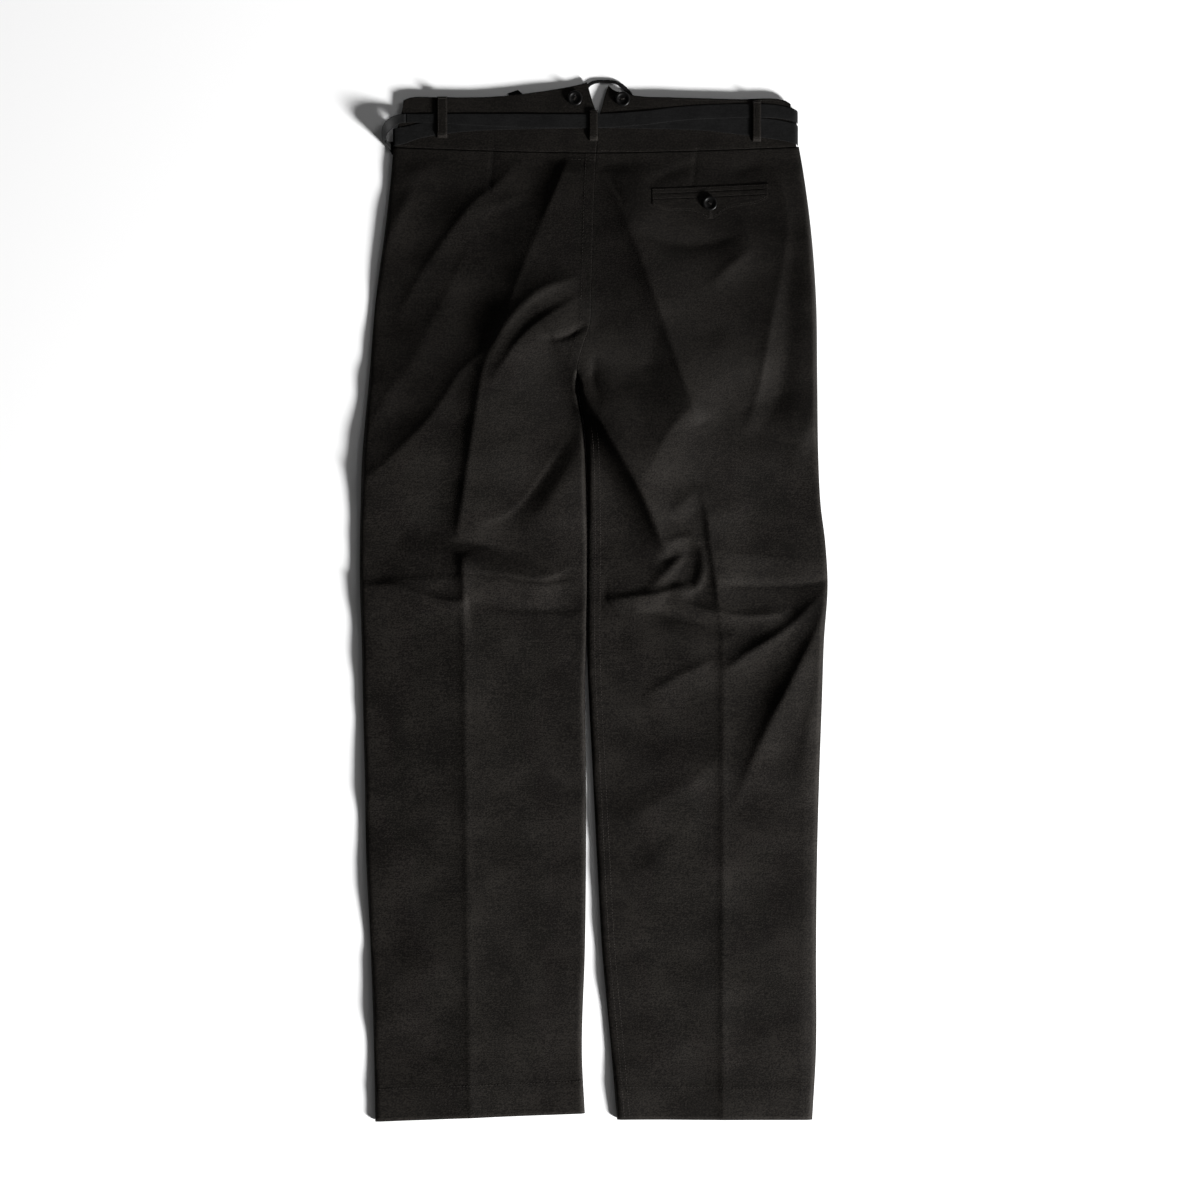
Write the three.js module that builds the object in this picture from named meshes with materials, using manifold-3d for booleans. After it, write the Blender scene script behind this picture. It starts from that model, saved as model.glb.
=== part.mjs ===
// Canvas trousers with a woven tape sash, laid flat on their front and seen from behind.
// Millimetres. +X is the wearer's right, +Y runs from the hems up to the waist, +Z is up from the surface.

import * as THREE from "three";
import { mergeVertices } from "three/addons/utils/BufferGeometryUtils.js";
import Module from "manifold-3d";

// Driving sizes
const clothThick = 1.2;
const seamGap = 0.3;
const legTop = 5.2;
const sideSeamHeight = 2.5;
const edgeRadius = 6;
const waistHeight = 477;
const waistHalf = 214;
const frontWaistDip = 22;
const backWaist = { middle: 474.2, rise: 6, power: 1.6 };
const hemHeight = -549;
const hems = { left: { x: -231.5, y: -551.7, slope: 0.0392 }, right: { x: 0, y: -549.6, slope: 0 } };
const crotchHeight = 246;
const crotchTurn = 22;
const waistbandThick = 1.8;
const waistbandTop = 5.2;
const frontBandThick = 1.5;
const frontLift = 1.3;
const liftFrom = 440;
const liftTo = 464;
const tapeThick = 1.0;
const tapeWidth = 14.8;
const lowestTrough = 1.4;
const steepest = 0.55;
const slopeStep = 2;
const calmFrom = 432;
const calmTo = 469;
const seamLiftShare = 0.7;
const leastMiddleGap = 0.4;

const materials = {
  canvas: new THREE.MeshStandardMaterial({ color: 0x201e1c, roughness: 0.9, metalness: 0 }),
  tape: new THREE.MeshStandardMaterial({ color: 0x1a1a1b, roughness: 0.85, metalness: 0 }),
  horn: new THREE.MeshStandardMaterial({ color: 0x0c0b0b, roughness: 0.2, metalness: 0 }),
};

// Outline of the legs: a row for each height, from the waist seam to the hem.
const sides = [
  { y: 478, left: -212, right: 217 },
  { y: 446, left: -215, right: 223 },
  { y: 393, left: -221, right: 230 },
  { y: 318, left: -231, right: 235.5 },
  { y: 234, left: -238, right: 236.8 },
  { y: 149, left: -245.5, right: 238 },
  { y: 100, left: -247, right: 240.5 },
  { y: 64, left: -247.8, right: 245 },
  { y: 16, left: -247.8, right: 247.8 },
  { y: -42, left: -245.8, right: 244 },
  { y: -105, left: -244.6, right: 241.8 },
  { y: -190, left: -242.5, right: 238.8 },
  { y: -275, left: -241, right: 236.6 },
  { y: -370, left: -236.3, right: 235.6 },
  { y: -476, left: -232.8, right: 235.5 },
  { y: -549, left: -231.5, right: 231.5 },
];

// The seat seam and, below the crotch, the line midway between the two inseams, with the gap across it.
const middle = [
  { y: 516, x: 4.4, gap: 0.4 },
  { y: 478, x: 2.7, gap: 0.4 },
  { y: 424, x: 0.3, gap: 0.4 },
  { y: 318, x: -2.9, gap: 0.4 },
  { y: 292, x: -4, gap: 0.4 },
  { y: 270, x: -11, gap: 0.4 },
  { y: 246, x: -17.5, gap: 0.4 },
  { y: 228, x: -17, gap: 0.4 },
  { y: 171, x: -9.3, gap: 0.4 },
  { y: 106, x: -7.1, gap: 0.4 },
  { y: -42, x: -7.5, gap: 0.6 },
  { y: -84, x: -7.7, gap: 3.2 },
  { y: -190, x: -4.5, gap: 7.4 },
  { y: -275, x: -2.4, gap: 11.6 },
  { y: -370, x: -0.3, gap: 18 },
  { y: -476, x: 2.9, gap: 30.8 },
  { y: -549, x: 7.6, gap: 33.9 },
];

// Main folds of the back: rise is the crest's height, and negative in a trough. The flanks are the reach of
// each side, left and right as seen along the path. Fades are the shares of the path where the ends die away.
const folds = [
  { rise: 8.5, leftFlank: 73, rightFlank: 11, fadeIn: 0.19, fadeOut: 0.16,
    path: [[-22, 482], [-40, 436], [-71, 361], [-92, 305], [-107, 270], [-119, 248]] },
  { rise: 7.6, leftFlank: 31, rightFlank: 11, fadeIn: 0.21, fadeOut: 0.43,
    path: [[-97, 290], [-113, 266], [-142, 240], [-158, 214], [-196, 169], [-246, 124]] },
  { rise: 3.6, leftFlank: 26, rightFlank: 34, fadeIn: 0.39, fadeOut: 0.38,
    path: [[14, 462], [14, 380], [18, 330], [18, 250]] },
  { rise: 4.2, leftFlank: 41, rightFlank: 11, fadeIn: 0.19, fadeOut: 0.15,
    path: [[-101, 283], [-117, 243], [-125, 198], [-140, 98], [-143, 64]] },
  { rise: 3.8, leftFlank: 18, rightFlank: 11, fadeIn: 0.29, fadeOut: 0.38,
    path: [[-14, 322], [-48, 301], [-82, 271], [-94, 254], [-108, 225]] },
  { rise: 3, leftFlank: 11, rightFlank: 11, fadeIn: 0.21, fadeOut: 0.5,
    path: [[-74, 476], [-94, 449], [-114, 431], [-151, 391], [-182, 346], [-212, 290]] },
  { rise: 2, leftFlank: 12, rightFlank: 11, fadeIn: 0.28, fadeOut: 0.18,
    path: [[-118, 388], [-146, 345], [-176, 286], [-206, 226]] },
  { rise: -3.4, leftFlank: 11, rightFlank: 11, fadeIn: 0.25, fadeOut: 0.3,
    path: [[-13, 190], [-29, 150], [-61, 109], [-92, 79], [-122, 70]] },
  { rise: 2.9, leftFlank: 11, rightFlank: 11, fadeIn: 0.27, fadeOut: 0.31,
    path: [[-200, 80], [-162, 62], [-120, 50], [-78, 33], [-52, 26]] },
  { rise: 3.1, leftFlank: 11, rightFlank: 11, fadeIn: 0.47, fadeOut: 0.28,
    path: [[-139, 33], [-98, 29], [-60, 24], [-46, 26], [-14, 44]] },
  { rise: 2.9, leftFlank: 11, rightFlank: 11, fadeIn: 0.5, fadeOut: 0.15,
    path: [[-250, 14], [-206, 15], [-168, 2], [-150, -1], [-132, 0]] },
  { rise: 3.6, leftFlank: 38, rightFlank: 27, fadeIn: 0.16, fadeOut: 0.5,
    path: [[-139, 60], [-137, -40], [-134, -330], [-131, -549]] },
  { rise: 2.5, leftFlank: 11, rightFlank: 11, fadeIn: 0.02, fadeOut: 0.5,
    path: [[-141, 50], [-138, 14], [-137, -60], [-131, -549]] },
  { rise: 6.4, leftFlank: 59, rightFlank: 11, fadeIn: 0.36, fadeOut: 0.2,
    path: [[26, 424], [47, 368], [65, 317], [83, 264], [98, 222], [107, 196]] },
  { rise: 4.2, leftFlank: 28, rightFlank: 11, fadeIn: 0.16, fadeOut: 0.38,
    path: [[109, 218], [90, 194], [64, 148], [54, 126]] },
  { rise: 4, leftFlank: 15, rightFlank: 46, fadeIn: 0.29, fadeOut: 0.28,
    path: [[178, 452], [188, 370], [184, 310], [176, 250], [164, 170]] },
  { rise: -2.7, leftFlank: 11, rightFlank: 11, fadeIn: 0.3, fadeOut: 0.33,
    path: [[38, 398], [72, 380], [120, 378], [160, 392]] },
  { rise: 5.5, leftFlank: 11, rightFlank: 11, fadeIn: 0.26, fadeOut: 0.24,
    path: [[184, 468], [203, 412], [201, 364], [186, 288], [179, 242], [160, 172]] },
  { rise: -4.2, leftFlank: 11, rightFlank: 11, fadeIn: 0.5, fadeOut: 0.15,
    path: [[218, 420], [210, 366], [209, 268], [190, 193], [156, 168]] },
  { rise: 10.2, leftFlank: 39, rightFlank: 11, fadeIn: 0.25, fadeOut: 0.21,
    path: [[-14, 240], [-4, 207], [26, 157], [45, 125], [58, 98], [70, 61], [84, 46]] },
  { rise: 3.1, leftFlank: 11, rightFlank: 17, fadeIn: 0.26, fadeOut: 0.5,
    path: [[76, 84], [104, 96], [138, 96], [184, 74]] },
  { rise: 3.8, leftFlank: 16, rightFlank: 11, fadeIn: 0.43, fadeOut: 0.29,
    path: [[112, 124], [121, 64], [127, 24], [133, -16]] },
  { rise: 5.5, leftFlank: 11, rightFlank: 11, fadeIn: 0.31, fadeOut: 0.25,
    path: [[74, 56], [99, 63], [116, 48], [115, 20], [97, 5], [80, 12]] },
  { rise: 4.2, leftFlank: 11, rightFlank: 11, fadeIn: 0.17, fadeOut: 0.13,
    path: [[10, 0], [45, 4], [78, 13], [100, 26]] },
  { rise: 2.5, leftFlank: 11, rightFlank: 11, fadeIn: 0.28, fadeOut: 0.14,
    path: [[129, 31], [162, 28], [208, 27], [247, 30]] },
  { rise: 3.1, leftFlank: 11, rightFlank: 11, fadeIn: 0.26, fadeOut: 0.39,
    path: [[84, 3], [116, -9], [136, -14], [162, -16], [212, -8]] },
  { rise: 4.7, leftFlank: 11, rightFlank: 11, fadeIn: 0.1, fadeOut: 0.41,
    path: [[248, 14], [224, -12], [166, -53], [134, -70]] },
  { rise: 4.2, leftFlank: 12, rightFlank: 11, fadeIn: 0.09, fadeOut: 0.5,
    path: [[248, 8], [232, -40], [200, -92], [160, -158], [138, -215]] },
  { rise: 0.9, leftFlank: 23, rightFlank: 23, fadeIn: 0.09, fadeOut: 0.46,
    path: [[132, -10], [136, -170], [136, -549]] },
  { rise: 1.2, leftFlank: 11, rightFlank: 11, fadeIn: 0.02, fadeOut: 0.5,
    path: [[134, -28], [136, -290], [136, -549]] },
  { rise: 2.5, leftFlank: 11, rightFlank: 15, fadeIn: 0.44, fadeOut: 0.36,
    path: [[14, -244], [78, -206], [108, -188], [146, -140]] },
];

// The two turns of tape across the back, from the wearer's left to the right, then down round the side.
// across is the way the tape's width points.
const flatAcross = [0, 1, 0];
const upperTape = [
  { x: -199, y: 510.4, z: 6.2, width: 9, across: flatAcross },
  { x: -188, y: 510.3, z: 6.7, width: 9, across: flatAcross },
  { x: -176, y: 510.2, z: 7.4, width: 9.4, across: flatAcross },
  { x: -130, y: 509, z: 7.4, width: 12, across: flatAcross },
  { x: -90, y: 508, z: 7.4, width: 14, across: flatAcross },
  { x: -4, y: 507.4, z: 7.4, width: tapeWidth, across: flatAcross },
  { x: 49, y: 510.2, z: 7.4, width: tapeWidth, across: flatAcross },
  { x: 82, y: 514.2, z: 7.4, width: tapeWidth, across: flatAcross },
  { x: 113, y: 516.8, z: 7.4, width: tapeWidth, across: flatAcross },
  { x: 155, y: 518.2, z: 7.4, width: tapeWidth, across: flatAcross },
  { x: 188, y: 517.8, z: 7.3, width: 14.2, across: flatAcross },
  { x: 203, y: 515.8, z: 7.2, width: 13.6, across: flatAcross },
  { x: 212.4, y: 513.4, z: 6.2, width: 13, across: flatAcross },
  { x: 215.6, y: 511.6, z: 3.8, width: 12.7, across: flatAcross },
  { x: 215.9, y: 511, z: 0.9, width: 12.7, across: flatAcross },
];
const lowerTape = [
  { x: -212.4, y: 490, z: 2.8, width: 18.5, across: flatAcross },
  { x: -211.8, y: 490.1, z: 5.2, width: 18.5, across: flatAcross },
  { x: -207, y: 491, z: 6.3, width: 18.3, across: flatAcross },
  { x: -198, y: 493, z: 6.1, width: 17.5, across: flatAcross },
  { x: -184, y: 497, z: 6.0, width: 16, across: flatAcross },
  { x: -158, y: 501, z: 6.0, width: tapeWidth, across: flatAcross },
  { x: -110, y: 505.2, z: 6.0, width: tapeWidth, across: flatAcross },
  { x: -4, y: 507.3, z: 6.0, width: tapeWidth, across: flatAcross },
  { x: 49, y: 506.8, z: 6.0, width: tapeWidth, across: flatAcross },
  { x: 113, y: 505.5, z: 6.0, width: 16, across: flatAcross },
  { x: 155, y: 502.4, z: 6.0, width: 19, across: flatAcross },
  { x: 188, y: 499, z: 6.0, width: 21, across: flatAcross },
  { x: 205, y: 496, z: 6.4, width: 21, across: flatAcross },
  { x: 213.4, y: 493.6, z: 5.8, width: 21, across: flatAcross },
  { x: 215.9, y: 492, z: 3.4, width: 21, across: flatAcross },
  { x: 216.1, y: 491.4, z: 0.9, width: 21, across: flatAcross },
];

// The slack turn at the wearer's left: it leaves the upper turn, stands on edge and runs in under the front.
const slackTurn = [
  { x: -199.6, y: 510.4, z: 6.2, width: 9, across: [0, 1, 0] },
  { x: -206, y: 509.4, z: 7.4, width: 9.4, across: [-0.15, 1, 0.1] },
  { x: -212.6, y: 506.2, z: 8.2, width: 10.6, across: [-0.4, 0.8, 0.4] },
  { x: -218, y: 501.2, z: 8.4, width: 12.6, across: [-0.5, 0.4, 0.75] },
  { x: -221.2, y: 495, z: 8.3, width: 14, across: [-0.34, 0.12, 0.92] },
  { x: -221.6, y: 488, z: 8, width: 14, across: [-0.25, -0.05, 0.96] },
  { x: -219.6, y: 482, z: 7.4, width: 12.6, across: [-0.3, 0.3, 0.9] },
  { x: -216.4, y: 479.4, z: 3.8, width: 12.6, across: [-0.3, 0.85, 0.4] },
  { x: -213.4, y: 479.2, z: 1.2, width: 14, across: [0, 1, 0] },
  { x: -208.4, y: 479.2, z: 0.67, width: tapeWidth, across: [0, 1, 0] },
  { x: -203, y: 479.2, z: 0.5, width: tapeWidth, across: [0, 1, 0] },
];

// The two turns under the hidden front, flat on the surface.
const frontUpperTape = [
  { x: -198, y: 500, z: 0.5, width: tapeWidth, across: flatAcross },
  { x: -100, y: 494.6, z: 0.5, width: tapeWidth, across: flatAcross },
  { x: 0, y: 491, z: 0.5, width: tapeWidth, across: flatAcross },
  { x: 100, y: 499, z: 0.5, width: tapeWidth, across: flatAcross },
  { x: 205, y: 510.5, z: 0.5, width: tapeWidth, across: flatAcross },
  { x: 214.9, y: 511, z: 0.5, width: tapeWidth, across: flatAcross },
];
const frontLowerTape = [
  { x: -202.6, y: 479.2, z: 0.5, width: tapeWidth, across: flatAcross },
  { x: -100, y: 476, z: 0.5, width: tapeWidth, across: flatAcross },
  { x: 0, y: 474.4, z: 0.5, width: tapeWidth, across: flatAcross },
  { x: 100, y: 482, z: 0.5, width: tapeWidth, across: flatAcross },
  { x: 205, y: 491, z: 0.5, width: tapeWidth, across: flatAcross },
  { x: 215.1, y: 491.4, z: 0.5, width: tapeWidth, across: flatAcross },
];

// The bow's loop, of tape folded narrow, and the tape's end, both under the raised back waistband.
const bowLoop = [
  { x: -4, y: 500.4, z: 0.65, width: 4, across: [1, 0, 0] },
  { x: -9, y: 515, z: 0.8, width: 4, across: [1, 0.2, 0] },
  { x: -11, y: 532, z: 0.8, width: 4, across: [1, 0, 0] },
  { x: -7.5, y: 543.5, z: 0.9, width: 4, across: [0.8, -0.6, 0] },
  { x: 0, y: 549, z: 1, width: 3.6, across: [0.4, -0.9, 0] },
  { x: 12, y: 550, z: 1, width: 3.4, across: [0, -1, 0] },
  { x: 24, y: 548.6, z: 1, width: 3.6, across: [-0.5, -0.9, 0] },
  { x: 33.5, y: 542, z: 0.9, width: 4.4, across: [-0.8, -0.6, 0] },
  { x: 39.5, y: 532, z: 0.8, width: 4.6, across: [-1, -0.3, 0] },
  { x: 33, y: 516, z: 0.8, width: 4, across: [-0.9, 0.4, 0] },
  { x: 19, y: 500.7, z: 0.65, width: 4, across: [-1, 0.1, 0] },
];
const tapeEnd = [
  { x: -46, y: 500.3, z: 0.5, width: 13, across: [1, 0.04, 0] },
  { x: -55, y: 511, z: 0.5, width: 12.8, across: [0.85, 0.5, 0] },
  { x: -68, y: 522, z: 0.5, width: 12.5, across: [0.75, 0.66, 0] },
  { x: -86, y: 539.2, z: 0.5, width: 12, across: [0.9, 0.3, 0] },
];

// Belt loops: x is the loop's middle; the top and foot are its ends on the waistband.
const beltLoops = [
  { name: "belt_loop_left", x: -160.4, width: 10.6, top: 533.2, foot: 489.2 },
  { name: "belt_loop_centre", x: -0.3, width: 8.8, top: 519, foot: 486.2 },
  { name: "belt_loop_right", x: 172.4, width: 8.8, top: 528.6, foot: 485.4 },
];
const loopThick = 1.1;
const loopRise = 3.1;
const loopRows = 14;
const loopTopBend = 2.8;
const loopFootBend = 5;

// Buttons: two-hole, with a raised rim and a dished face.
const buttons = [
  { name: "button_brace_left", x: -19.9, y: 531.4, turn: 60 },
  { name: "button_brace_right", x: 30.5, y: 530.6, turn: 90 },
  { name: "button_pocket", x: 122.7, y: 419.8, turn: 35 },
];
const buttonProfile = [
  { r: 0, z: 0 }, { r: 6.6, z: 0 }, { r: 8.2, z: 0.8 }, { r: 8.5, z: 1.9 }, { r: 7.9, z: 3.0 },
  { r: 6.9, z: 3.3 }, { r: 5.7, z: 2.7 }, { r: 4.4, z: 2.0 }, { r: 0, z: 1.8 },
];
const buttonSides = 24;
const holeRadius = 1.1;
const holeApart = 4.4;
const holeSides = 10;
const drillLength = 8;
const buttonLift = 0.9;

// Back pocket on the wearer's right: the welts' ends and the flap's lower edge.
const pocketSlope = 0.045;
const pocket = { left: 61.5, right: 184.5, mouth: 432.6, welt: 5.6, thick: 1, lie: 0.4 };
const pocketColumns = 21;
const weltRows = 2;
const flapColumns = 25;
const flapRows = 5;
const flapEdge = [
  { x: 61.5, drop: 11 }, { x: 68, drop: 15.5 }, { x: 107, drop: 20.5 }, { x: 124, drop: 29 },
  { x: 141, drop: 19 }, { x: 178, drop: 12.5 }, { x: 184.5, drop: 8 },
];

const lerp = THREE.MathUtils.lerp;
const smooth = (from, to, value) => THREE.MathUtils.smoothstep(value, from, to);

// A smooth curve through one column of a table whose rows run down in y, or along in x.
function column(rows, key, value, by = "y") {
  const sign = Math.sign(rows[1][by] - rows[0][by]);
  let i = 0;
  while (i < rows.length - 2 && sign * (value - rows[i + 1][by]) > 0) i += 1;
  const slope = (a, b) => (rows[b][key] - rows[a][key]) / (rows[b][by] - rows[a][by]);
  const here = slope(i, i + 1);
  const before = i > 0 ? (slope(i - 1, i) + here) / 2 : here;
  const after = i < rows.length - 2 ? (slope(i + 1, i + 2) + here) / 2 : here;
  const span = rows[i + 1][by] - rows[i][by];
  const s = THREE.MathUtils.clamp((value - rows[i][by]) / span, 0, 1);
  const bend = s * (1 - s) * span * ((before - here) * (1 - s) - (after - here) * s);
  return lerp(rows[i][key], rows[i + 1][key], s) + bend;
}

// A closed solid between two grids of points: pair(c, r) gives the outer and the inner point.
function wall(columns, rows, pair) {
  const outer = [];
  const inner = [];
  for (let r = 0; r < rows; r += 1) {
    for (let c = 0; c < columns; c += 1) {
      const [a, b] = pair(c, r);
      outer.push(...a);
      inner.push(...b);
    }
  }
  const shift = rows * columns;
  const index = [];
  const quad = (a, b, c, d) => index.push(a, b, c, a, c, d);
  const at = (c, r) => r * columns + c;
  for (let r = 0; r < rows - 1; r += 1) {
    for (let c = 0; c < columns - 1; c += 1) {
      quad(at(c, r), at(c + 1, r), at(c + 1, r + 1), at(c, r + 1));
      quad(shift + at(c, r), shift + at(c, r + 1), shift + at(c + 1, r + 1), shift + at(c + 1, r));
    }
  }
  const rim = (a, b) => quad(b, a, shift + a, shift + b);
  for (let c = 0; c < columns - 1; c += 1) {
    rim(at(c, 0), at(c + 1, 0));
    rim(at(c + 1, rows - 1), at(c, rows - 1));
  }
  for (let r = 0; r < rows - 1; r += 1) {
    rim(at(0, r + 1), at(0, r));
    rim(at(columns - 1, r), at(columns - 1, r + 1));
  }
  return facingOut(new Float32Array([...outer, ...inner]), index);
}

// A geometry whose faces point out, whichever way round the grid was given.
function facingOut(positions, index) {
  const point = (i) => new THREE.Vector3().fromArray(positions, 3 * i);
  let volume = 0;
  for (let i = 0; i < index.length; i += 3) {
    volume += point(index[i]).dot(point(index[i + 1]).cross(point(index[i + 2])));
  }
  const faces = volume > 0 ? index : index.slice().reverse();
  const geometry = new THREE.BufferGeometry();
  geometry.setAttribute("position", new THREE.BufferAttribute(positions, 3));
  geometry.setIndex(faces);
  geometry.computeVertexNormals();
  return geometry;
}

// The folds' paths as short straight steps.
const foldSteps = 20;
const foldRoutes = folds.map((fold) => {
  const curve = new THREE.CatmullRomCurve3(fold.path.map(([x, y]) => new THREE.Vector3(x, y, 0)));
  return { fold, points: curve.getSpacedPoints(foldSteps) };
});

function foldHeight(x, y) {
  let height = 0;
  for (const { fold, points } of foldRoutes) {
    let nearest = Infinity;
    let side = 0;
    let share = 0;
    for (let i = 0; i < foldSteps; i += 1) {
      const a = points[i];
      const dx = points[i + 1].x - a.x;
      const dy = points[i + 1].y - a.y;
      const s = THREE.MathUtils.clamp(((x - a.x) * dx + (y - a.y) * dy) / (dx * dx + dy * dy), 0, 1);
      const away = Math.hypot(x - a.x - s * dx, y - a.y - s * dy);
      if (away < nearest) {
        nearest = away;
        side = dx * (y - a.y) - dy * (x - a.x);
        share = (i + s) / foldSteps;
      }
    }
    const flank = side > 0 ? fold.leftFlank : fold.rightFlank;
    const fade = smooth(0, fold.fadeIn, share) * smooth(0, fold.fadeOut, 1 - share);
    height += fold.rise * fade * Math.exp(-((nearest / flank) ** 2));
  }
  return height;
}

// Heights of the cloth over the surface.
const lift = (y) => frontLift * smooth(liftFrom, liftTo, y);
const seamHeight = (y) => sideSeamHeight + seamLiftShare * lift(y);
const waistCalm = (y) => 1 - smooth(calmFrom, calmTo, y);
const frontSeam = (x) => waistHeight - frontWaistDip * (1 - (x / waistHalf) ** 2);
const backSeam = (x) => backWaist.middle + backWaist.rise * Math.abs(x / waistHalf) ** backWaist.power;
const hemLine = ({ x: from, y, slope }) => (x) => y + slope * (x - from);

function backTop(x, y) {
  const raised = foldHeight(x, y) * waistCalm(y);
  return legTop + (raised > 0 ? raised : -lowestTrough * Math.tanh(-raised / lowestTrough));
}

// The underside keeps the wall's thickness square to the slope of its top.
function underside(top, x, y) {
  const slopeX = (top(x + slopeStep, y) - top(x - slopeStep, y)) / (2 * slopeStep);
  const slopeY = (top(x, y + slopeStep) - top(x, y - slopeStep)) / (2 * slopeStep);
  const upright = Math.max(steepest, 1 / Math.hypot(slopeX, slopeY, 1));
  return Math.max(top(x, y) - clothThick / upright, clothThick + lift(y) + seamGap);
}

const middleGap = (y) => Math.max(leastMiddleGap, column(middle, "gap", y));
const edges = {
  left: {
    outside: (y) => column(sides, "left", y),
    inside: (y) => column(middle, "x", y) - middleGap(y) / 2,
  },
  right: {
    outside: (y) => column(sides, "right", y),
    inside: (y) => column(middle, "x", y) + middleGap(y) / 2,
  },
};

// The places of a panel's columns: three round each edge, in degrees of its bend, and the rest between.
const edgeBends = [0, 40, 90];
const backColumns = 17;
const frontColumns = 3;
const backBlend = 36;
const frontBlend = 60;

function panelColumns(between) {
  const list = edgeBends.map((bend) => ({ edge: "outside", bend }));
  for (let i = 1; i <= between; i += 1) list.push({ share: i / (between + 1) });
  return [...list, ...edgeBends.toReversed().map((bend) => ({ edge: "inside", bend }))];
}

function panelRows(zones) {
  const list = [zones[0].from];
  for (const { from, to, count } of zones) {
    for (let i = 1; i <= count; i += 1) list.push(lerp(from, to, i / count));
  }
  return list;
}

const backRows = panelRows([
  { from: waistHeight, to: 150, count: 18 },
  { from: 150, to: -70, count: 16 },
  { from: -70, to: hemHeight, count: 13 },
]);
const frontRows = panelRows([
  { from: waistHeight, to: 437, count: 4 },
  { from: 437, to: 224, count: 5 },
  { from: 224, to: hemHeight, count: 14 },
]);

// One leg's back or front: pair(c, r) for wall, with the seams' butt joint turning into a curl at the crotch.
function legPanel(side, face, between, rowHeights) {
  const columns = panelColumns(between);
  const hem = hemLine(hems[side]);
  const seam = face === "back" ? backSeam : frontSeam;
  const blendDepth = face === "back" ? backBlend : frontBlend;
  const pair = (c, r) => {
    const nominal = rowHeights[r];
    const from = edges[side].outside(nominal);
    const to = edges[side].inside(nominal);
    const inward = Math.sign(to - from);
    const { edge, bend = 90, share } = columns[c];
    const turn = THREE.MathUtils.degToRad(bend);
    let x = lerp(from + inward * edgeRadius, to - inward * edgeRadius, share ?? 0);
    let offset = 0;
    let curl = 1;
    if (edge === "outside") {
      x = from + inward * edgeRadius * (1 - Math.cos(turn));
      offset = inward * clothThick * Math.cos(turn);
    }
    if (edge === "inside") {
      curl = 1 - smooth(crotchHeight - crotchTurn, crotchHeight, nominal);
      x = to - inward * edgeRadius * (1 - Math.cos(turn));
      offset = -inward * clothThick * Math.cos(turn) * curl;
    }
    const waistShare = Math.max(0, (nominal - waistHeight + blendDepth) / blendDepth);
    const hemShare = Math.max(0, (hemHeight + blendDepth - nominal) / blendDepth);
    const y = nominal + waistShare * (seam(x) - waistHeight) + hemShare * (hem(x) - hemHeight);
    const sink = edge ? curl * (1 - Math.sin(turn)) : 0;
    const back = face === "back";
    const joint = seamHeight(y) + (back ? seamGap / 2 : -seamGap / 2);
    const outerZ = back ? backTop(x, y) : lift(y);
    const innerZ = back ? underside(backTop, x, y) : lift(y) + clothThick;
    return [
      [x, y, lerp(outerZ, joint, sink)],
      [x + offset, y, lerp(innerZ, joint, sink)],
    ];
  };
  return { columns: columns.length, rows: rowHeights.length, pair };
}

const group = new THREE.Group();
group.name = "canvas_trousers";

function add(name, geometry, material) {
  const mesh = new THREE.Mesh(geometry, material);
  mesh.name = name;
  group.add(mesh);
  return mesh;
}

const backLeft = legPanel("left", "back", backColumns, backRows);
const backRight = legPanel("right", "back", backColumns, backRows);
const frontLeft = legPanel("left", "front", frontColumns, frontRows);
const frontRight = legPanel("right", "front", frontColumns, frontRows);
add("back_left", wall(backLeft.columns, backLeft.rows, backLeft.pair), materials.canvas);
add("back_right", wall(backRight.columns, backRight.rows, backRight.pair), materials.canvas);
add("front_left", wall(frontLeft.columns, frontLeft.rows, frontLeft.pair), materials.canvas);
add("front_right", wall(frontRight.columns, frontRight.rows, frontRight.pair), materials.canvas);

// Height of a panel's outer face at a place, read between its own rows and columns.
function onPanel(panel, x, y) {
  const point = (c, r) => panel.pair(c, r)[0];
  let r = 0;
  while (r < panel.rows - 2 && point(8, r + 1)[1] > y) r += 1;
  const rowHeight = (row) => {
    let c = 2;
    const order = Math.sign(point(3, row)[0] - point(2, row)[0]);
    while (c < panel.columns - 4 && order * (x - point(c + 1, row)[0]) > 0) c += 1;
    const [a, b] = [point(c, row), point(c + 1, row)];
    const s = (x - a[0]) / (b[0] - a[0]);
    return { y: lerp(a[1], b[1], s), z: lerp(a[2], b[2], s) };
  };
  const [above, below] = [rowHeight(r), rowHeight(r + 1)];
  return lerp(above.z, below.z, (y - above.y) / (below.y - above.y));
}

// Waistbands
const bandSide = {
  left: (y) => lerp(-210.4, -201.4, smooth(484, 528, y)),
  right: (y) => lerp(212.6, 208.4, smooth(484, 524, y)),
};
const notch = [
  { y: 474, left: 2.5, right: 2.9 },
  { y: 508, left: 3.9, right: 4.3 },
  { y: 512, left: 4, right: 4.6 },
  { y: 515, left: 3.2, right: 5.8 },
  { y: 522, left: 0.4, right: 8.2 },
  { y: 536, left: -3.8, right: 11.6 },
  { y: 548.6, left: -7.2, right: 15.4 },
];
const bandTops = {
  left: [
    { x: -212, y: 526 }, { x: -201, y: 530.4 }, { x: -195, y: 532 }, { x: -166, y: 532.7 },
    { x: -120, y: 532.7 }, { x: -89, y: 534.6 }, { x: -57, y: 538.6 }, { x: -36, y: 542 },
    { x: -20, y: 545.2 }, { x: -7.2, y: 548.6 },
  ],
  right: [
    { x: 214, y: 522 }, { x: 206, y: 527.6 }, { x: 197, y: 530.4 }, { x: 155, y: 530.6 },
    { x: 113, y: 531.6 }, { x: 81, y: 532.6 }, { x: 49, y: 533.8 }, { x: 28, y: 538 },
    { x: 20, y: 541.2 }, { x: 15.4, y: 545.6 },
  ],
};
const bandColumns = 15;
const bandRows = 7;
const bandSpread = 0.85;
const bandEnds = { low: 474, top: 548, sideLow: 480, sideTop: 526 };
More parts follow.
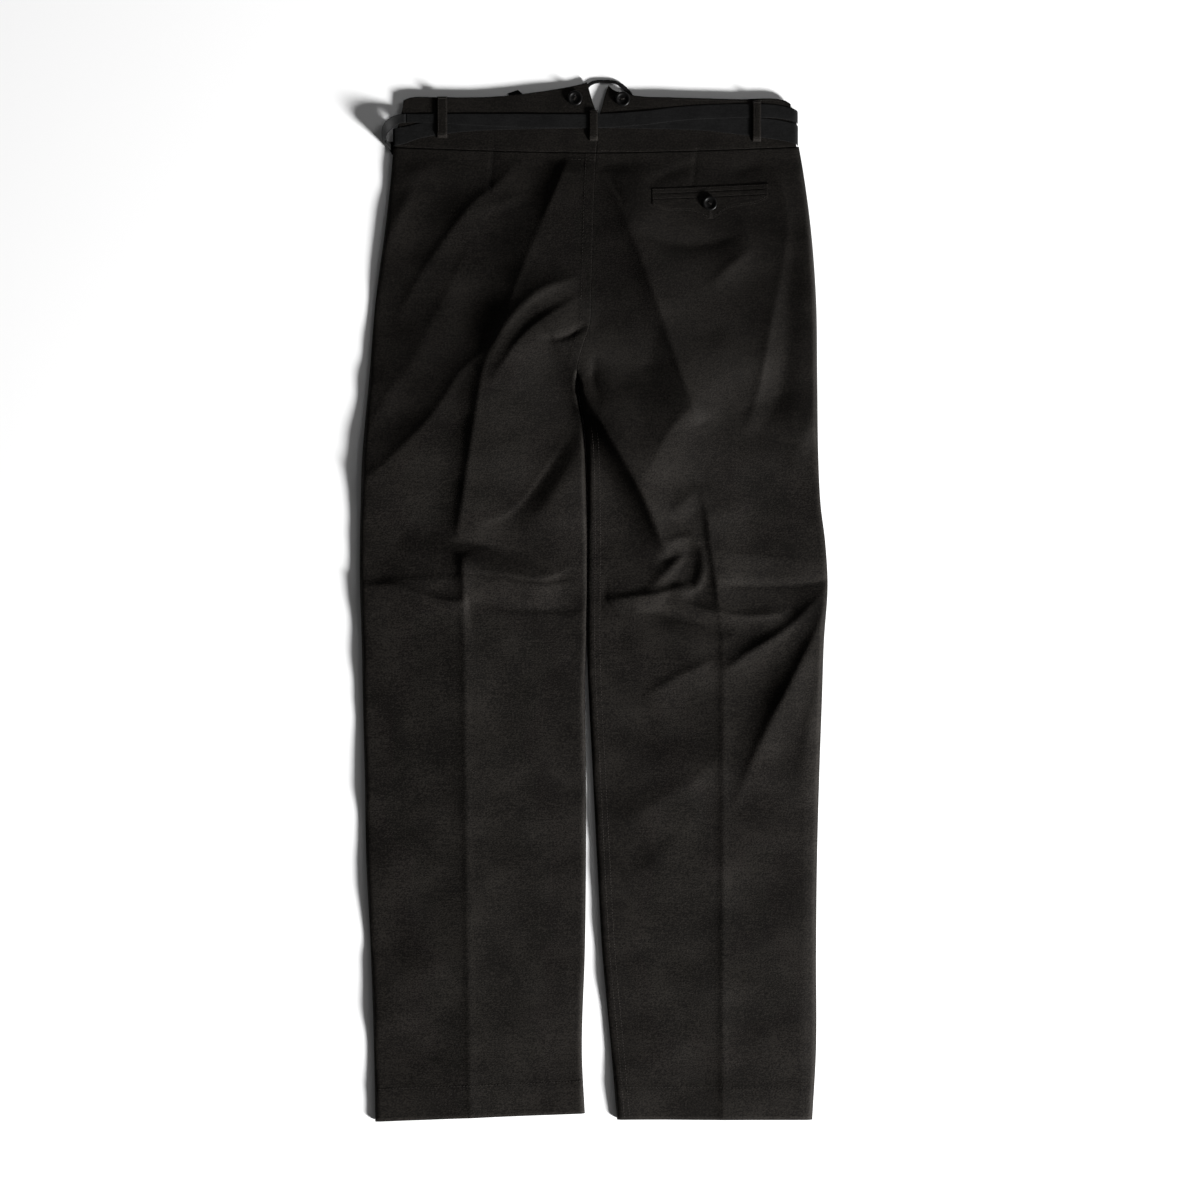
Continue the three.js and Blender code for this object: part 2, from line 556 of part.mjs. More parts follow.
const frontBand = { columns: 6, rows: 3, middleTop: 500, rise: 24, half: 208, inset: 1, foot: 477, top: 524 };
const frontBandTop = (x) => frontBand.middleTop + frontBand.rise * (x / frontBand.half) ** 2;

// The raised points at the centre back lean down towards the surface.
const lean = { drop: 1.7, from: 518, to: 546, middle: 4, near: 20, far: 66 };
const bandHeight = (x, y) => {
  const beside = smooth(lean.near, lean.far, Math.abs(x - lean.middle));
  return waistbandTop - lean.drop * smooth(lean.from, lean.to, y) * (1 - beside);
};

function backBand(side) {
  const tops = bandTops[side];
  const last = tops[tops.length - 1];
  const order = Math.sign(last.x);
  return wall(bandColumns, bandRows, (c, r) => {
    const share = r / (bandRows - 1);
    const across = (c / (bandColumns - 1)) ** bandSpread;
    const outside = bandSide[side](lerp(bandEnds.sideLow, bandEnds.sideTop, share));
    const inside = column(notch, side, lerp(bandEnds.low, bandEnds.top, share));
    const x = lerp(outside, inside, across);
    const top = order * (x - last.x) < 0 ? last.y : column(tops, "y", x, "x");
    const y = lerp(backSeam(x) + seamGap, top, share);
    const z = bandHeight(x, y);
    return [[x, y, z], [x, y, z - waistbandThick]];
  });
}

function frontBandHalf(side) {
  const sign = side === "left" ? -1 : 1;
  return wall(frontBand.columns, frontBand.rows, (c, r) => {
    const share = r / (frontBand.rows - 1);
    const outside = bandSide[side](lerp(frontBand.foot, frontBand.top, share)) - sign * frontBand.inset;
    const inside = column(middle, "x", frontBand.foot) + (sign * leastMiddleGap) / 2;
    const x = lerp(outside, inside, c / (frontBand.columns - 1));
    const y = lerp(frontSeam(x) + seamGap, frontBandTop(x), share);
    return [[x, y, frontLift], [x, y, frontLift + frontBandThick]];
  });
}

for (const side of ["left", "right"]) {
  add("waistband_back_" + side, backBand(side), materials.canvas);
  add("waistband_front_" + side, frontBandHalf(side), materials.canvas);
}

// Tape: a flat band that follows a table of places, widths and ways across.
function tape(rows, stepsBetween, thick = tapeThick) {
  const places = new THREE.CatmullRomCurve3(rows.map((row) => new THREE.Vector3(row.x, row.y, row.z)));
  const acrosses = new THREE.CatmullRomCurve3(rows.map((row) => new THREE.Vector3(...row.across)));
  const steps = (rows.length - 1) * stepsBetween;
  const half = thick / 2;
  return wall(3, steps + 1, (c, r) => {
    const share = r / steps;
    const place = places.getPoint(share);
    const along = places.getTangent(share);
    const across = acrosses.getPoint(share).normalize();
    const facing = new THREE.Vector3().crossVectors(along, across).normalize();
    const index = Math.min(rows.length - 2, Math.floor(share * (rows.length - 1)));
    const width = lerp(rows[index].width, rows[index + 1].width, share * (rows.length - 1) - index);
    const point = place.addScaledVector(across, (c / 2 - 0.5) * width);
    return [
      point.clone().addScaledVector(facing, half).toArray(),
      point.clone().addScaledVector(facing, -half).toArray(),
    ];
  });
}

const flatSteps = 2;
const curlSteps = 3;
const foldedTapeThick = 1.2;
add("sash_upper", tape(upperTape, flatSteps), materials.tape);
add("sash_lower", tape(lowerTape, flatSteps), materials.tape);
add("sash_left_loop", tape(slackTurn, curlSteps), materials.tape);
add("sash_front_upper", tape(frontUpperTape, flatSteps), materials.tape);
add("sash_front_lower", tape(frontLowerTape, flatSteps), materials.tape);
add("sash_bow_loop", tape(bowLoop, curlSteps, foldedTapeThick), materials.tape);
add("sash_end", tape(tapeEnd, flatSteps), materials.tape);

// Belt loops arch over both turns of the tape.
function beltLoop({ x, width, top, foot }) {
  const rise = (y) =>
    loopRise * smooth(foot, foot + loopFootBend, y) * (1 - smooth(top - loopTopBend, top, y));
  return wall(3, loopRows, (c, r) => {
    const across = x + (c / 2 - 0.5) * width;
    const y = lerp(foot, top, r / (loopRows - 1));
    const z = Math.max(bandHeight(across, y), bandHeight(x, y)) + seamGap + rise(y);
    return [[across, y, z + loopThick], [across, y, z]];
  });
}

for (const loop of beltLoops) add(loop.name, beltLoop(loop), materials.canvas);

// Pocket: two welts and a pointed flap that lie on the right back panel.
const pocketLine = (x) => pocket.mouth + pocketSlope * (x - (pocket.left + pocket.right) / 2);

function onPocket(columns, rows, place) {
  return wall(columns, rows, (c, r) => {
    const { x, y } = place(c / (columns - 1), r / (rows - 1));
    const z = onPanel(backRight, x, y) + pocket.lie;
    return [[x, y, z + pocket.thick], [x, y, z]];
  });
}

const acrossPocket = (share) => lerp(pocket.left, pocket.right, share);
add("pocket_welt_upper", onPocket(pocketColumns, weltRows, (u, v) => {
  const x = acrossPocket(u);
  return { x, y: pocketLine(x) + pocket.welt * (1 - v) };
}), materials.canvas);
add("pocket_welt_lower", onPocket(pocketColumns, weltRows, (u, v) => {
  const x = acrossPocket(u);
  return { x, y: pocketLine(x) - seamGap - pocket.welt * v };
}), materials.canvas);
add("pocket_flap", onPocket(flapColumns, flapRows, (u, v) => {
  const x = acrossPocket(u);
  const start = pocketLine(x) - pocket.welt - 2 * seamGap;
  const drop = column(flapEdge, "drop", x, "x") - pocket.welt;
  return { x, y: start - v * drop };
}), materials.canvas);

// Buttons
const wasm = await Module();
wasm.setup();

function solidOf(geometry) {
  const bare = geometry.clone();
  bare.deleteAttribute("normal");
  bare.deleteAttribute("uv");
  const merged = mergeVertices(bare, 1e-4);
  return new wasm.Manifold(
    new wasm.Mesh({
      numProp: 3,
      vertProperties: new Float32Array(merged.attributes.position.array),
      triVerts: new Uint32Array(merged.index.array),
    }),
  );
}

function geometryOf(solid) {
  const { vertProperties, triVerts } = solid.getMesh();
  const geometry = new THREE.BufferGeometry();
  geometry.setAttribute("position", new THREE.BufferAttribute(vertProperties.slice(), 3));
  geometry.setIndex(new THREE.BufferAttribute(triVerts.slice(), 1));
  geometry.computeVertexNormals();
  return geometry;
}

function buttonGeometry() {
  const profile = buttonProfile.map(({ r, z }) => new THREE.Vector2(r, z));
  const disc = new THREE.LatheGeometry(profile, buttonSides).rotateX(Math.PI / 2);
  let solid = solidOf(disc);
  for (const side of [-1, 1]) {
    const drill = new THREE.CylinderGeometry(holeRadius, holeRadius, drillLength, holeSides);
    drill.rotateX(Math.PI / 2);
    drill.translate((side * holeApart) / 2, 0, 1);
    solid = solid.subtract(solidOf(drill));
  }
  return geometryOf(solid);
}

const buttonShape = buttonGeometry();
const buttonReach = 8;
for (const { name, x, y, turn } of buttons) {
  const mesh = add(name, buttonShape, materials.horn);
  const onFlap = onPanel(backRight, x, y) + pocket.thick + buttonLift;
  const onBand = Math.max(bandHeight(x, y + buttonReach), bandHeight(x, y - buttonReach)) + seamGap;
  mesh.position.set(x, y, name === "button_pocket" ? onFlap : onBand);
  mesh.rotation.z = THREE.MathUtils.degToRad(turn);
}

export default group;
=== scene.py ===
import math
import bpy
import numpy as np
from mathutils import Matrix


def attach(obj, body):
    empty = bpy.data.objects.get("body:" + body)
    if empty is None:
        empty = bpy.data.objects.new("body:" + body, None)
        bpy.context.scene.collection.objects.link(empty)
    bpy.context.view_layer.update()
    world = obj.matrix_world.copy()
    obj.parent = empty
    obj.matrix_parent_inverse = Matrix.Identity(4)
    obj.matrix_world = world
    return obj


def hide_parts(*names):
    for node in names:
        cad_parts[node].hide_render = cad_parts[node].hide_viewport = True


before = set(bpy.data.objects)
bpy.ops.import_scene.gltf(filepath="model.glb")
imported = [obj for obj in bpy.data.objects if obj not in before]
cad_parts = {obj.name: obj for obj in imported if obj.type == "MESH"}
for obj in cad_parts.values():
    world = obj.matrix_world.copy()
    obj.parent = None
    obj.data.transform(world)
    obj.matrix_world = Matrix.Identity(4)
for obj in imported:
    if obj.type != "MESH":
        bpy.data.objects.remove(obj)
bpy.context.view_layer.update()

# Canvas trousers seen from behind, laid flat. Shapes are worked out in millimetres and made in metres.
mm = 0.001


# A table's rows as dictionaries under the names of its columns.
def tableOf(names, *rows):
    return [dict(zip(names.split(), row)) for row in rows]


cloth = {
    "thick": 1.0,            # canvas
    "legTop": 5.2,           # height of the back's outer face where it lies plain
    "seamHeight": 2.5,       # where the back and front meet at the sides
    "seamGap": 0.15,
    "edgeRadius": 6.0,
    "lowestTrough": 1.9,
    "waist": 477.0,
    "calmDepth": 26,         # the folds die out this far below the waist
    "hem": -549.0,
    "crotch": 246.0,
    "crotchTurn": 22.0,
    "frontLift": 1.3,        # the front waist lies over the tape
    "seamLift": 0.7,
    "liftFrom": 440.0,
    "liftTo": 464.0,
    "shin": -110.0,          # below this the folds are few, so the rows stand twice as far apart
    "gridStep": 2.1,
}

sides = tableOf("y left right", (478, -212, 217), (446, -215, 223), (393, -221, 230), (318, -231, 235.5),
    (234, -238, 236.8), (149, -245.5, 238), (100, -247, 240.5), (64, -247.8, 245), (16, -247.8, 247.8),
    (-42, -245.8, 244), (-105, -244.6, 241.8), (-190, -242.5, 238.8), (-275, -241, 236.6), (-370, -236.3, 235.6),
    (-476, -232.8, 235.5), (-549, -231.5, 231.5))

# Seat seam, then the line midway between the inseams, with the gap across it.
middle = tableOf("y x gap", (516, 4.4, 0.4), (478, 2.7, 0.4), (424, 0.3, 0.4), (318, -2.9, 0.4), (292, -4, 0.4),
    (270, -11, 0.4), (246, -17.5, 0.4), (228, -17, 0.4), (171, -9.3, 0.4), (106, -7.1, 0.4), (-42, -7.5, 0.6),
    (-84, -7.7, 3.2), (-190, -4.5, 7.4), (-275, -2.4, 11.6), (-370, -0.3, 18), (-476, 2.9, 30.8), (-549, 7.6, 33.9))


def smooth(low, high, value):
    s = np.clip((value - low) / (high - low), 0, 1)
    return s * s * (3 - 2 * s)


def mix(a, b, share):
    return a + (b - a) * share


# A smooth curve through one column of a table.
def column(rows, key, value, by="y"):
    ordered = sorted(rows, key=lambda row: row[by])
    xs = np.array([row[by] for row in ordered], float)
    ys = np.array([row[key] for row in ordered], float)
    slopes = np.diff(ys) / np.diff(xs)
    tangents = np.concatenate([slopes[:1], (slopes[1:] + slopes[:-1]) / 2, slopes[-1:]])
    v = np.clip(value, xs[0], xs[-1])
    i = np.clip(np.searchsorted(xs, v) - 1, 0, len(xs) - 2)
    span = xs[i + 1] - xs[i]
    s = (v - xs[i]) / span
    bend = s * (1 - s) * span * ((tangents[i] - slopes[i]) * (1 - s) - (tangents[i + 1] - slopes[i]) * s)
    return mix(ys[i], ys[i + 1], s) + bend


def lengthOf(points):
    return np.linalg.norm(np.diff(np.array(points, float), axis=0), axis=1).sum()


# Evenly spaced places on a smooth curve through the points.
def curveThrough(points, steps, perSpan=16):
    p = np.array(points, float)
    p = np.vstack([2 * p[0] - p[1], p, 2 * p[-1] - p[-2]])
    fine = []
    for i in range(1, len(p) - 2):
        for t in np.linspace(0, 1, perSpan, endpoint=False):
            fine.append(0.5 * (2 * p[i] + (p[i + 1] - p[i - 1]) * t
                               + (2 * p[i - 1] - 5 * p[i] + 4 * p[i + 1] - p[i + 2]) * t ** 2
                               + (3 * p[i] - p[i - 1] - 3 * p[i + 1] + p[i + 2]) * t ** 3))
    fine.append(p[-2])
    fine = np.array(fine)
    run = np.concatenate([[0], np.cumsum(np.linalg.norm(np.diff(fine, axis=0), axis=1))])
    even = np.linspace(0, run[-1], steps + 1)
    return np.stack([np.interp(even, run, fine[:, k]) for k in range(fine.shape[1])], axis=1)


# Folds, in millimetres: the left and the right flank as seen along the path, then the places on the path. A flank
# is how far it reaches and its shape, where 1 starts steep at the line and 2 is round. A place is x, y and the
# height there, which is negative in a trough.
def fold(left, right, *path):
    return {"left": left, "right": right, "path": path}


backFolds = {
    "seat": fold((120, 2.2), (30, 1.05), (-22, 482, 0), (-30, 462, 1.2), (-40, 436, 3.6), (-56, 397, 7.4),
        (-71, 361, 9.8), (-82, 333, 10.5), (-92, 305, 9.5), (-100, 284, 8), (-107, 270, 5), (-114, 258, 1.6),
        (-119, 248, 0)),
    "seatTop": fold((40, 1.8), (6, 1.1), (-22, 484, 0), (-26, 474, 3), (-33, 454, 4), (-41, 434, 3.6),
        (-50, 412, 1.8), (-57, 394, 0)),
    "hipDropLeft": fold((60, 1.3), (27, 1.05), (-97, 290, 0), (-104, 276, 3), (-113, 266, 5.5), (-126, 255, 7.5),
        (-142, 240, 8.4), (-158, 214, 9), (-176, 190, 9.4), (-196, 169, 8.6), (-218, 148, 7.4), (-246, 124, 5)),
    "seatPlane": fold((40, 1.8), (64, 1.4), (28, 462, 0), (32, 430, 2.6), (42, 380, 4.4), (52, 330, 5),
        (58, 290, 3.4), (60, 250, 0)),
    "pressLeftUpper": fold((80, 1.5), (9, 1.15), (-101, 283, 0), (-110, 262, 4), (-117, 243, 6), (-121, 222, 6.4),
        (-125, 198, 6.8), (-130, 165, 7), (-136, 125, 7), (-140, 98, 6.6), (-143, 80, 5.4), (-144, 70, 3.4),
        (-145, 62, 0)),
    "seatRidgeLeft": fold((12, 1.7), (12, 1.2), (-10, 345, 0), (-28, 338, 3), (-45, 333, 5), (-62, 324, 5.5),
        (-80, 308, 5.5), (-94, 290, 5), (-104, 270, 2.4), (-110, 252, 0)),
    "seatCrestLeft": fold((30, 1.8), (8, 1.1), (-14, 322, 1), (-30, 312, 3.6), (-48, 301, 5), (-66, 288, 5.6),
        (-82, 271, 5.6), (-94, 254, 4.4), (-104, 238, 2), (-108, 225, 0)),
    "crotchCrease": fold((8, 1.4), (3, 1.2), (-60, 275, 0), (-42, 275, -2), (-26, 279, -3), (-13, 287, -2),
        (-8, 292, 0)),
    "hipCreaseLeft": fold((20, 1.8), (13, 1.1), (-74, 476, 0), (-84, 464, 1.4), (-94, 449, 3), (-105, 438, 4.4),
        (-114, 431, 5), (-126, 422, 5), (-138, 408, 5), (-151, 391, 4.6), (-166, 370, 4), (-182, 346, 3),
        (-198, 318, 2), (-212, 290, 0)),
    "hipBandLeft": fold((22, 2), (14, 1.3), (-118, 388, 0), (-132, 372, 1.6), (-146, 345, 2.2), (-160, 316, 2.4),
        (-176, 286, 2.4), (-190, 256, 2), (-206, 226, 0)),
    "hipSoftLeft": fold((12, 2), (8, 1.5), (-186, 440, 0), (-198, 424, 1.8), (-207, 408, 2), (-217, 384, 1.4),
        (-224, 362, 0)),
    "hipTopLeft": fold((14, 2), (12, 1.6), (-140, 480, 0), (-160, 470, 1.2), (-182, 458, 1.5), (-200, 444, 1),
        (-210, 430, 0)),
    "hipLowLeft": fold((14, 2), (12, 1.5), (-196, 250, 0), (-212, 228, 1.5), (-226, 204, 1.8), (-240, 178, 1)),
    "dartPatchLeft": fold((9, 1.8), (11, 1.8), (-128, 410, 0), (-108, 416, 1.4), (-88, 423, 1.6), (-68, 432, 0)),
    "thighRidge": fold((5, 1.6), (14, 1.3), (-14, 210, 0), (-22, 190, 0.8), (-34, 167, 1.2), (-48, 147, 1.2),
        (-62, 127, 1.2), (-78, 106, 1.2), (-93, 93, 1), (-112, 86, 0.8), (-130, 82, 0)),
    "thighTrough": fold((22, 1.2), (20, 1.3), (-15, 214, 0), (-21, 196, -1.2), (-30, 172, -2.4), (-43, 147, -2.6),
        (-58, 124, -2.6), (-74, 103, -2.4), (-90, 88, -1.6), (-106, 80, -0.8), (-124, 75, 0)),
    "thighSwell": fold((32, 1.8), (17, 1.7), (-6, 190, 0), (-12, 170, 3), (-22, 146, 5.6), (-36, 122, 6.2),
        (-52, 99, 5), (-68, 82, 2), (-80, 72, 0)),
    "kneeCrestLeft": fold((19, 1.7), (36, 1.8), (-206, 68, 0), (-188, 60, 3), (-166, 52, 4.6), (-142, 44, 5.4),
        (-120, 38, 5.4), (-98, 30, 5), (-78, 22, 4), (-58, 18, 2.4), (-36, 22, 0)),
    "kneeCreaseLeft": fold((16, 1.4), (26, 1.05), (-196, 86, 0), (-186, 80, -1.6), (-172, 74, -2.8),
        (-156, 70, -3.2), (-142, 67, -3.2), (-124, 61, -3), (-106, 53, -3), (-90, 48, -2.8), (-72, 41, -2.4),
        (-56, 35, -1.8), (-42, 33, -1), (-26, 42, 0)),
    "kneeRidgeLeft": fold((15, 1.4), (4, 1.5), (-139, 33, 1), (-118, 31, 1.8), (-98, 29, 2.2), (-78, 26, 2.5),
        (-60, 24, 2.6), (-46, 26, 2), (-30, 33, 1), (-14, 44, 0)),
    "kneeLineLeft": fold((3, 1.2), (16, 1.7), (-137, 26, 1), (-118, 24, 1.8), (-98, 22, 2), (-78, 19, 2.2),
        (-60, 17, 2.2), (-40, 18, 1.4), (-14, 20, 0)),
    "kneeSoftLeft": fold((13, 1.8), (5, 1.3), (-128, 0, 0), (-108, -5, -1.4), (-84, -9, -1.8), (-54, -10, -1.8),
        (-26, -10, -1.6), (-8, -8, 0)),
    "kneeOverlapLeft": fold((6, 1.2), (28, 1.6), (-250, 14, 2), (-226, 16, 3.4), (-206, 15, 4), (-186, 8, 4.8),
        (-168, 2, 5), (-150, -1, 5), (-140, -1, 3), (-132, 0, 0)),
    "kneeShallowLeft": fold((6, 1.4), (9, 1.6), (-236, 20, 0), (-205, 21, 1.4), (-170, 22, 1.6), (-146, 22, 1)),
    "pressLeft": fold((13, 1.4), (5, 1.1), (-141, 50, 0), (-139, 42, 2.8), (-139, 30, 3.4), (-138, 14, 3.4),
        (-138, 4, 2.8), (-138, -10, 1.8), (-137, -60, 1.5), (-136, -170, 1.4), (-133, -420, 1.2), (-131, -549, 1)),
    "roofLeft": fold((85, 1.2), (100, 1.2), (-139, 60, 0), (-139, 20, 2.5), (-137, -40, 4), (-136, -170, 3.5),
        (-134, -330, 2.5), (-132, -480, 1.5), (-131, -549, 1)),
    "seatFoldRight": fold((80, 2), (20, 1.05), (12, 458, 0), (20, 438, 3), (33, 402, 6), (47, 368, 8),
        (56, 343, 9.5), (65, 317, 10.5), (74, 291, 11), (83, 264, 11), (92, 238, 10.5), (100, 216, 8),
        (106, 200, 4), (111, 186, 0)),
    "hipPlaneRight": fold((34, 2), (105, 1.6), (206, 470, 0), (212, 430, 4.2), (218, 370, 7.4), (218, 310, 8.2),
        (214, 250, 6.6), (206, 200, 3), (200, 170, 0)),
    "seatTurnRight": fold((40, 1.8), (24, 1.2), (112, 214, 0), (101, 202, 6), (90, 192, 7.5), (80, 179, 7.5),
        (71, 164, 6.5), (63, 148, 4.5), (56, 134, 1.5), (52, 126, 0)),
    "underPocket": fold((22, 1.7), (12, 1.4), (38, 398, 0), (52, 387, -2), (72, 379, -3.8), (96, 375, -4.4),
        (120, 377, -4), (142, 383, -2.6), (160, 392, 0)),
    "underPocketEnd": fold((16, 1.7), (12, 1.3), (170, 378, 0), (156, 364, 2.8), (142, 352, 3.6), (130, 341, 2.2),
        (120, 330, 0)),
    "hipRidgeRight": fold((8, 1.3), (10, 1.1), (184, 468, 0), (193, 450, 0.6), (199, 432, 0.9), (203, 412, 1),
        (204, 392, 1.1), (201, 364, 1.2), (196, 336, 1.4), (191, 311, 1.6), (186, 288, 1.8), (182, 264, 2),
        (178, 242, 2), (174, 222, 1.7), (168, 200, 1), (160, 172, 0)),
    "hipTroughRight": fold((16, 1.4), (14, 2), (216, 420, 0), (212, 395, -0.6), (210, 366, -1), (208, 336, -1.4),
        (206, 302, -1.6), (205, 268, -1.8), (202, 240, -2), (196, 214, -1.8), (186, 193, -1.4), (172, 178, -0.8),
        (160, 168, 0)),
    "sideRight": fold((20, 2), (22, 1.4), (228, 420, 0), (231, 360, 3.4), (234, 300, 4.6), (235, 240, 5),
        (230, 195, 4.4), (216, 160, 2.4), (198, 132, 0)),
    "innerFold": fold((42, 1.7), (10, 1.3), (-17, 229, 5), (-5, 208, 11), (6, 190, 14.5), (16, 173, 15.5),
        (26, 156, 15.5), (36, 139, 15.5), (45, 123, 15.5), (53, 107, 15), (60, 91, 13.5), (66, 76, 11), (72, 60, 7),
        (78, 44, 0)),
    "thighPlaneRight": fold((95, 1.8), (46, 2), (24, 226, 0), (50, 176, 3), (76, 126, 3.4), (96, 88, 0)),
    "crotchNick": fold((7, 1.5), (6, 1.5), (2, 262, 0), (0, 248, -1.6), (0, 232, -2), (4, 218, -1.4), (10, 204, 0)),
    "seatSoftRight": fold((22, 1.8), (28, 1.8), (3, 296, 0.5), (22, 290, 2), (44, 284, 2.2), (66, 276, 0)),
    "seatCreaseRight": fold((3, 1.4), (2.5, 1.4), (13, 454, 0), (20, 440, -1.2), (27, 428, -1.2), (34, 418, 0)),
    "waistFoldRight": fold((8, 1.6), (9, 1.6), (114, 476, 0), (104, 463, -1.4), (86, 455, -1.6), (64, 444, -1.2),
        (50, 436, 0)),
    "waistSoftRight": fold((8, 1.8), (8, 1.8), (140, 452, 0), (160, 458, -1), (182, 466, 0)),
    "kneeStep": fold((18, 1.9), (26, 2), (84, 92, 0), (98, 96, 1.2), (118, 98, 1.8), (140, 94, 1.2), (166, 86, 0)),
    "kneeWedge": fold((12, 1.3), (20, 1.8), (76, 86, 0), (86, 96, 2.4), (98, 108, 3), (108, 118, 1.8),
        (114, 126, 0)),
    "pressRightUpper": fold((35, 1.7), (8, 1), (112, 124, 0), (117, 100, 3), (120, 84, 5.5), (122, 64, 7),
        (125, 44, 7.5), (128, 24, 7), (130, 8, 5), (132, -6, 2.6), (133, -16, 0)),
    "kneeCurl": fold((7, 1.7), (8, 1.8), (72, 62, 0), (82, 62, 2), (93, 66, 3), (104, 66, 3.6), (112, 57, 4),
        (115, 42, 4), (114, 28, 4), (109, 16, 3.6), (100, 11, 2.6), (91, 12, 1), (84, 14, 0)),
    "kneeDiagonal": fold((8, 1.6), (9, 1.7), (52, 6, 0), (62, 15, 2), (74, 27, 3.2), (86, 40, 3.6), (98, 54, 2)),
    "kneePocketSmall": fold((6, 1.8), (7, 1.8), (70, 50, 0), (76, 44, -1), (82, 43, -1), (90, 50, 0)),
    "kneeOverlapInner": fold((5, 1.4), (14, 1.6), (8, 0, 0), (22, 1, 2.6), (42, 4, 4.2), (62, 6, 4.6),
        (78, 10, 4.4), (92, 14, 3.4), (104, 16, 0)),
    "kneePlaneInner": fold((30, 1.8), (30, 1.8), (30, -30, 0), (60, -34, 1.6), (100, -42, 1.8), (130, -52, 0)),
    "kneeOverlapOuter": fold((8, 1.3), (10, 1.5), (78, 4, 0), (94, -2, 3), (114, -9, 4.6), (136, -14, 5),
        (162, -16, 4.6), (190, -14, 3.4), (210, -9, 0)),
    "kneeLowCrease": fold((9, 1.6), (6, 1.3), (44, -10, 0), (66, -14, -2.6), (92, -19, -3.2), (116, -25, -3.2),
        (134, -32, -2.4), (146, -38, 0)),
    "kneeHook": fold((2.5, 1.4), (3, 1.4), (13, 26, 0), (12, 8, -0.8), (14, -4, -0.9), (21, -12, -0.9),
        (32, -18, 0)),
    "kneeRidgeOuter": fold((16, 1.8), (8, 1.8), (129, 29, 0), (142, 27, 0.7), (162, 26, 0.9), (186, 26, 0.9),
        (208, 27, 0.9), (230, 29, 0.9), (247, 31, 0.8)),
    "kneeLineOuter": fold((4, 1.5), (3.5, 1.3), (132, 18, 0), (146, 16, -1.1), (170, 15, -1.2), (200, 15, -1.2),
        (226, 17, -1.1), (247, 21, -0.8)),
    "kneeSoftOuter": fold((9, 1.4), (14, 1.6), (124, 52, 0), (140, 50, 1.2), (164, 47, 1.6), (190, 44, 1.4),
        (236, 38, 0.6)),
    "fanUpper": fold((14, 1.6), (8, 1.15), (248, 16, 0.4), (238, 4, 1.8), (224, -11, 3.4), (206, -27, 4.6),
        (186, -41, 5), (166, -53, 4.4), (148, -66, 3), (136, -78, 0)),
    "fanMiddle": fold((24, 1.7), (12, 1.15), (249, 14, 1), (243, -10, 3.8), (234, -34, 6), (220, -62, 7.2),
        (205, -92, 7.4), (189, -122, 6.8), (172, -158, 5), (158, -192, 2.6), (148, -224, 0)),
    "fanOuter": fold((16, 1.8), (12, 1.3), (247, -34, 0), (242, -70, 1.8), (234, -105, 2), (224, -150, 1.4),
        (214, -200, 0)),
    "roofRight": fold((18, 2), (90, 1.5), (226, -60, 0), (224, -130, 2.4), (222, -240, 3.4), (220, -360, 3.4),
        (218, -480, 2.6), (216, -549, 2)),
    "pressRight": fold((13, 1.4), (5, 1.1), (134, -28, 1.6), (136, -60, 1.5), (136, -290, 1.4), (136, -549, 1.1)),
    "calfUpper": fold((8, 1.4), (14, 1.6), (50, -104, 0), (72, -90, 2.2), (94, -78, 2.6), (114, -69, 2.4),
        (136, -60, 0)),
    "calfMiddle": fold((20, 1.2), (30, 1.8), (14, -244, 0), (44, -226, 2), (78, -206, 3), (108, -188, 3),
        (134, -160, 1.2), (146, -140, 0)),
    "calfLower": fold((20, 1.4), (28, 1.8), (34, -304, 0), (62, -276, 1.8), (92, -248, 2), (120, -216, 0)),
}

rumple = {"waves": 26, "shortest": 26.0, "longest": 120.0, "height": 0.22, "seed": 7, "angleSpread": 0.55,
          "atWaist": 0.25}
foldSteps = {"apart": 6, "fewest": 12, "reach": 3.2}


# The folds' summed height, and how far each place is from the nearest fold's line.
def foldHeights(x, y):
    height = np.zeros_like(x)
    nearest = np.full_like(x, 1e9)
    for fold in backFolds.values():
        places = np.array(fold["path"], float)
        route = curveThrough(places, max(foldSteps["fewest"], int(lengthOf(places[:, :2]) / foldSteps["apart"])))
        reach = foldSteps["reach"] * max(fold["left"][0], fold["right"][0])
        low, high = route[:, :2].min(axis=0) - reach, route[:, :2].max(axis=0) + reach
        near = (x > low[0]) & (x < high[0]) & (y > low[1]) & (y < high[1])
        px, py = x[near], y[near]
        best = np.full(px.shape, 1e9)
        side = np.zeros_like(px)
        rise = np.zeros_like(px)
        for start, end in zip(route[:-1], route[1:]):
            dx, dy = end[0] - start[0], end[1] - start[1]
            s = np.clip(((px - start[0]) * dx + (py - start[1]) * dy) / (dx * dx + dy * dy), 0, 1)
            away = np.hypot(px - start[0] - s * dx, py - start[1] - s * dy)
            closer = away < best
            best = np.where(closer, away, best)
            side = np.where(closer, dx * (py - start[1]) - dy * (px - start[0]), side)
            rise = np.where(closer, mix(start[2], end[2], s), rise)
        flank = np.where(side > 0, fold["left"][0], fold["right"][0])
        shape = np.where(side > 0, fold["left"][1], fold["right"][1])
        height[near] += rise * np.exp(-((best / flank) ** shape))
        nearest[near] = np.minimum(nearest[near], best)
    return height, nearest


# A grid softened by a bell curve, sigma in cells.
def blurred(grid, sigma):
    reach = int(3 * sigma)
    weights = np.exp(-0.5 * (np.arange(-reach, reach + 1) / sigma) ** 2)
    weights /= weights.sum()
    for axis in (0, 1):
        padded = np.pad(grid, [(reach, reach) if k == axis else (0, 0) for k in (0, 1)], mode="edge")
        size = grid.shape[axis]
        grid = sum(w * padded.take(range(i, i + size), axis=axis) for i, w in enumerate(weights))
    return grid


relief = {"left": -262.0, "low": -566.0, "right": 262.0, "high": 500.0, "cell": 1.5, "soften": 7.0,
          "softFrom": 3.0, "softTo": 16.0, "shareBlur": 2}


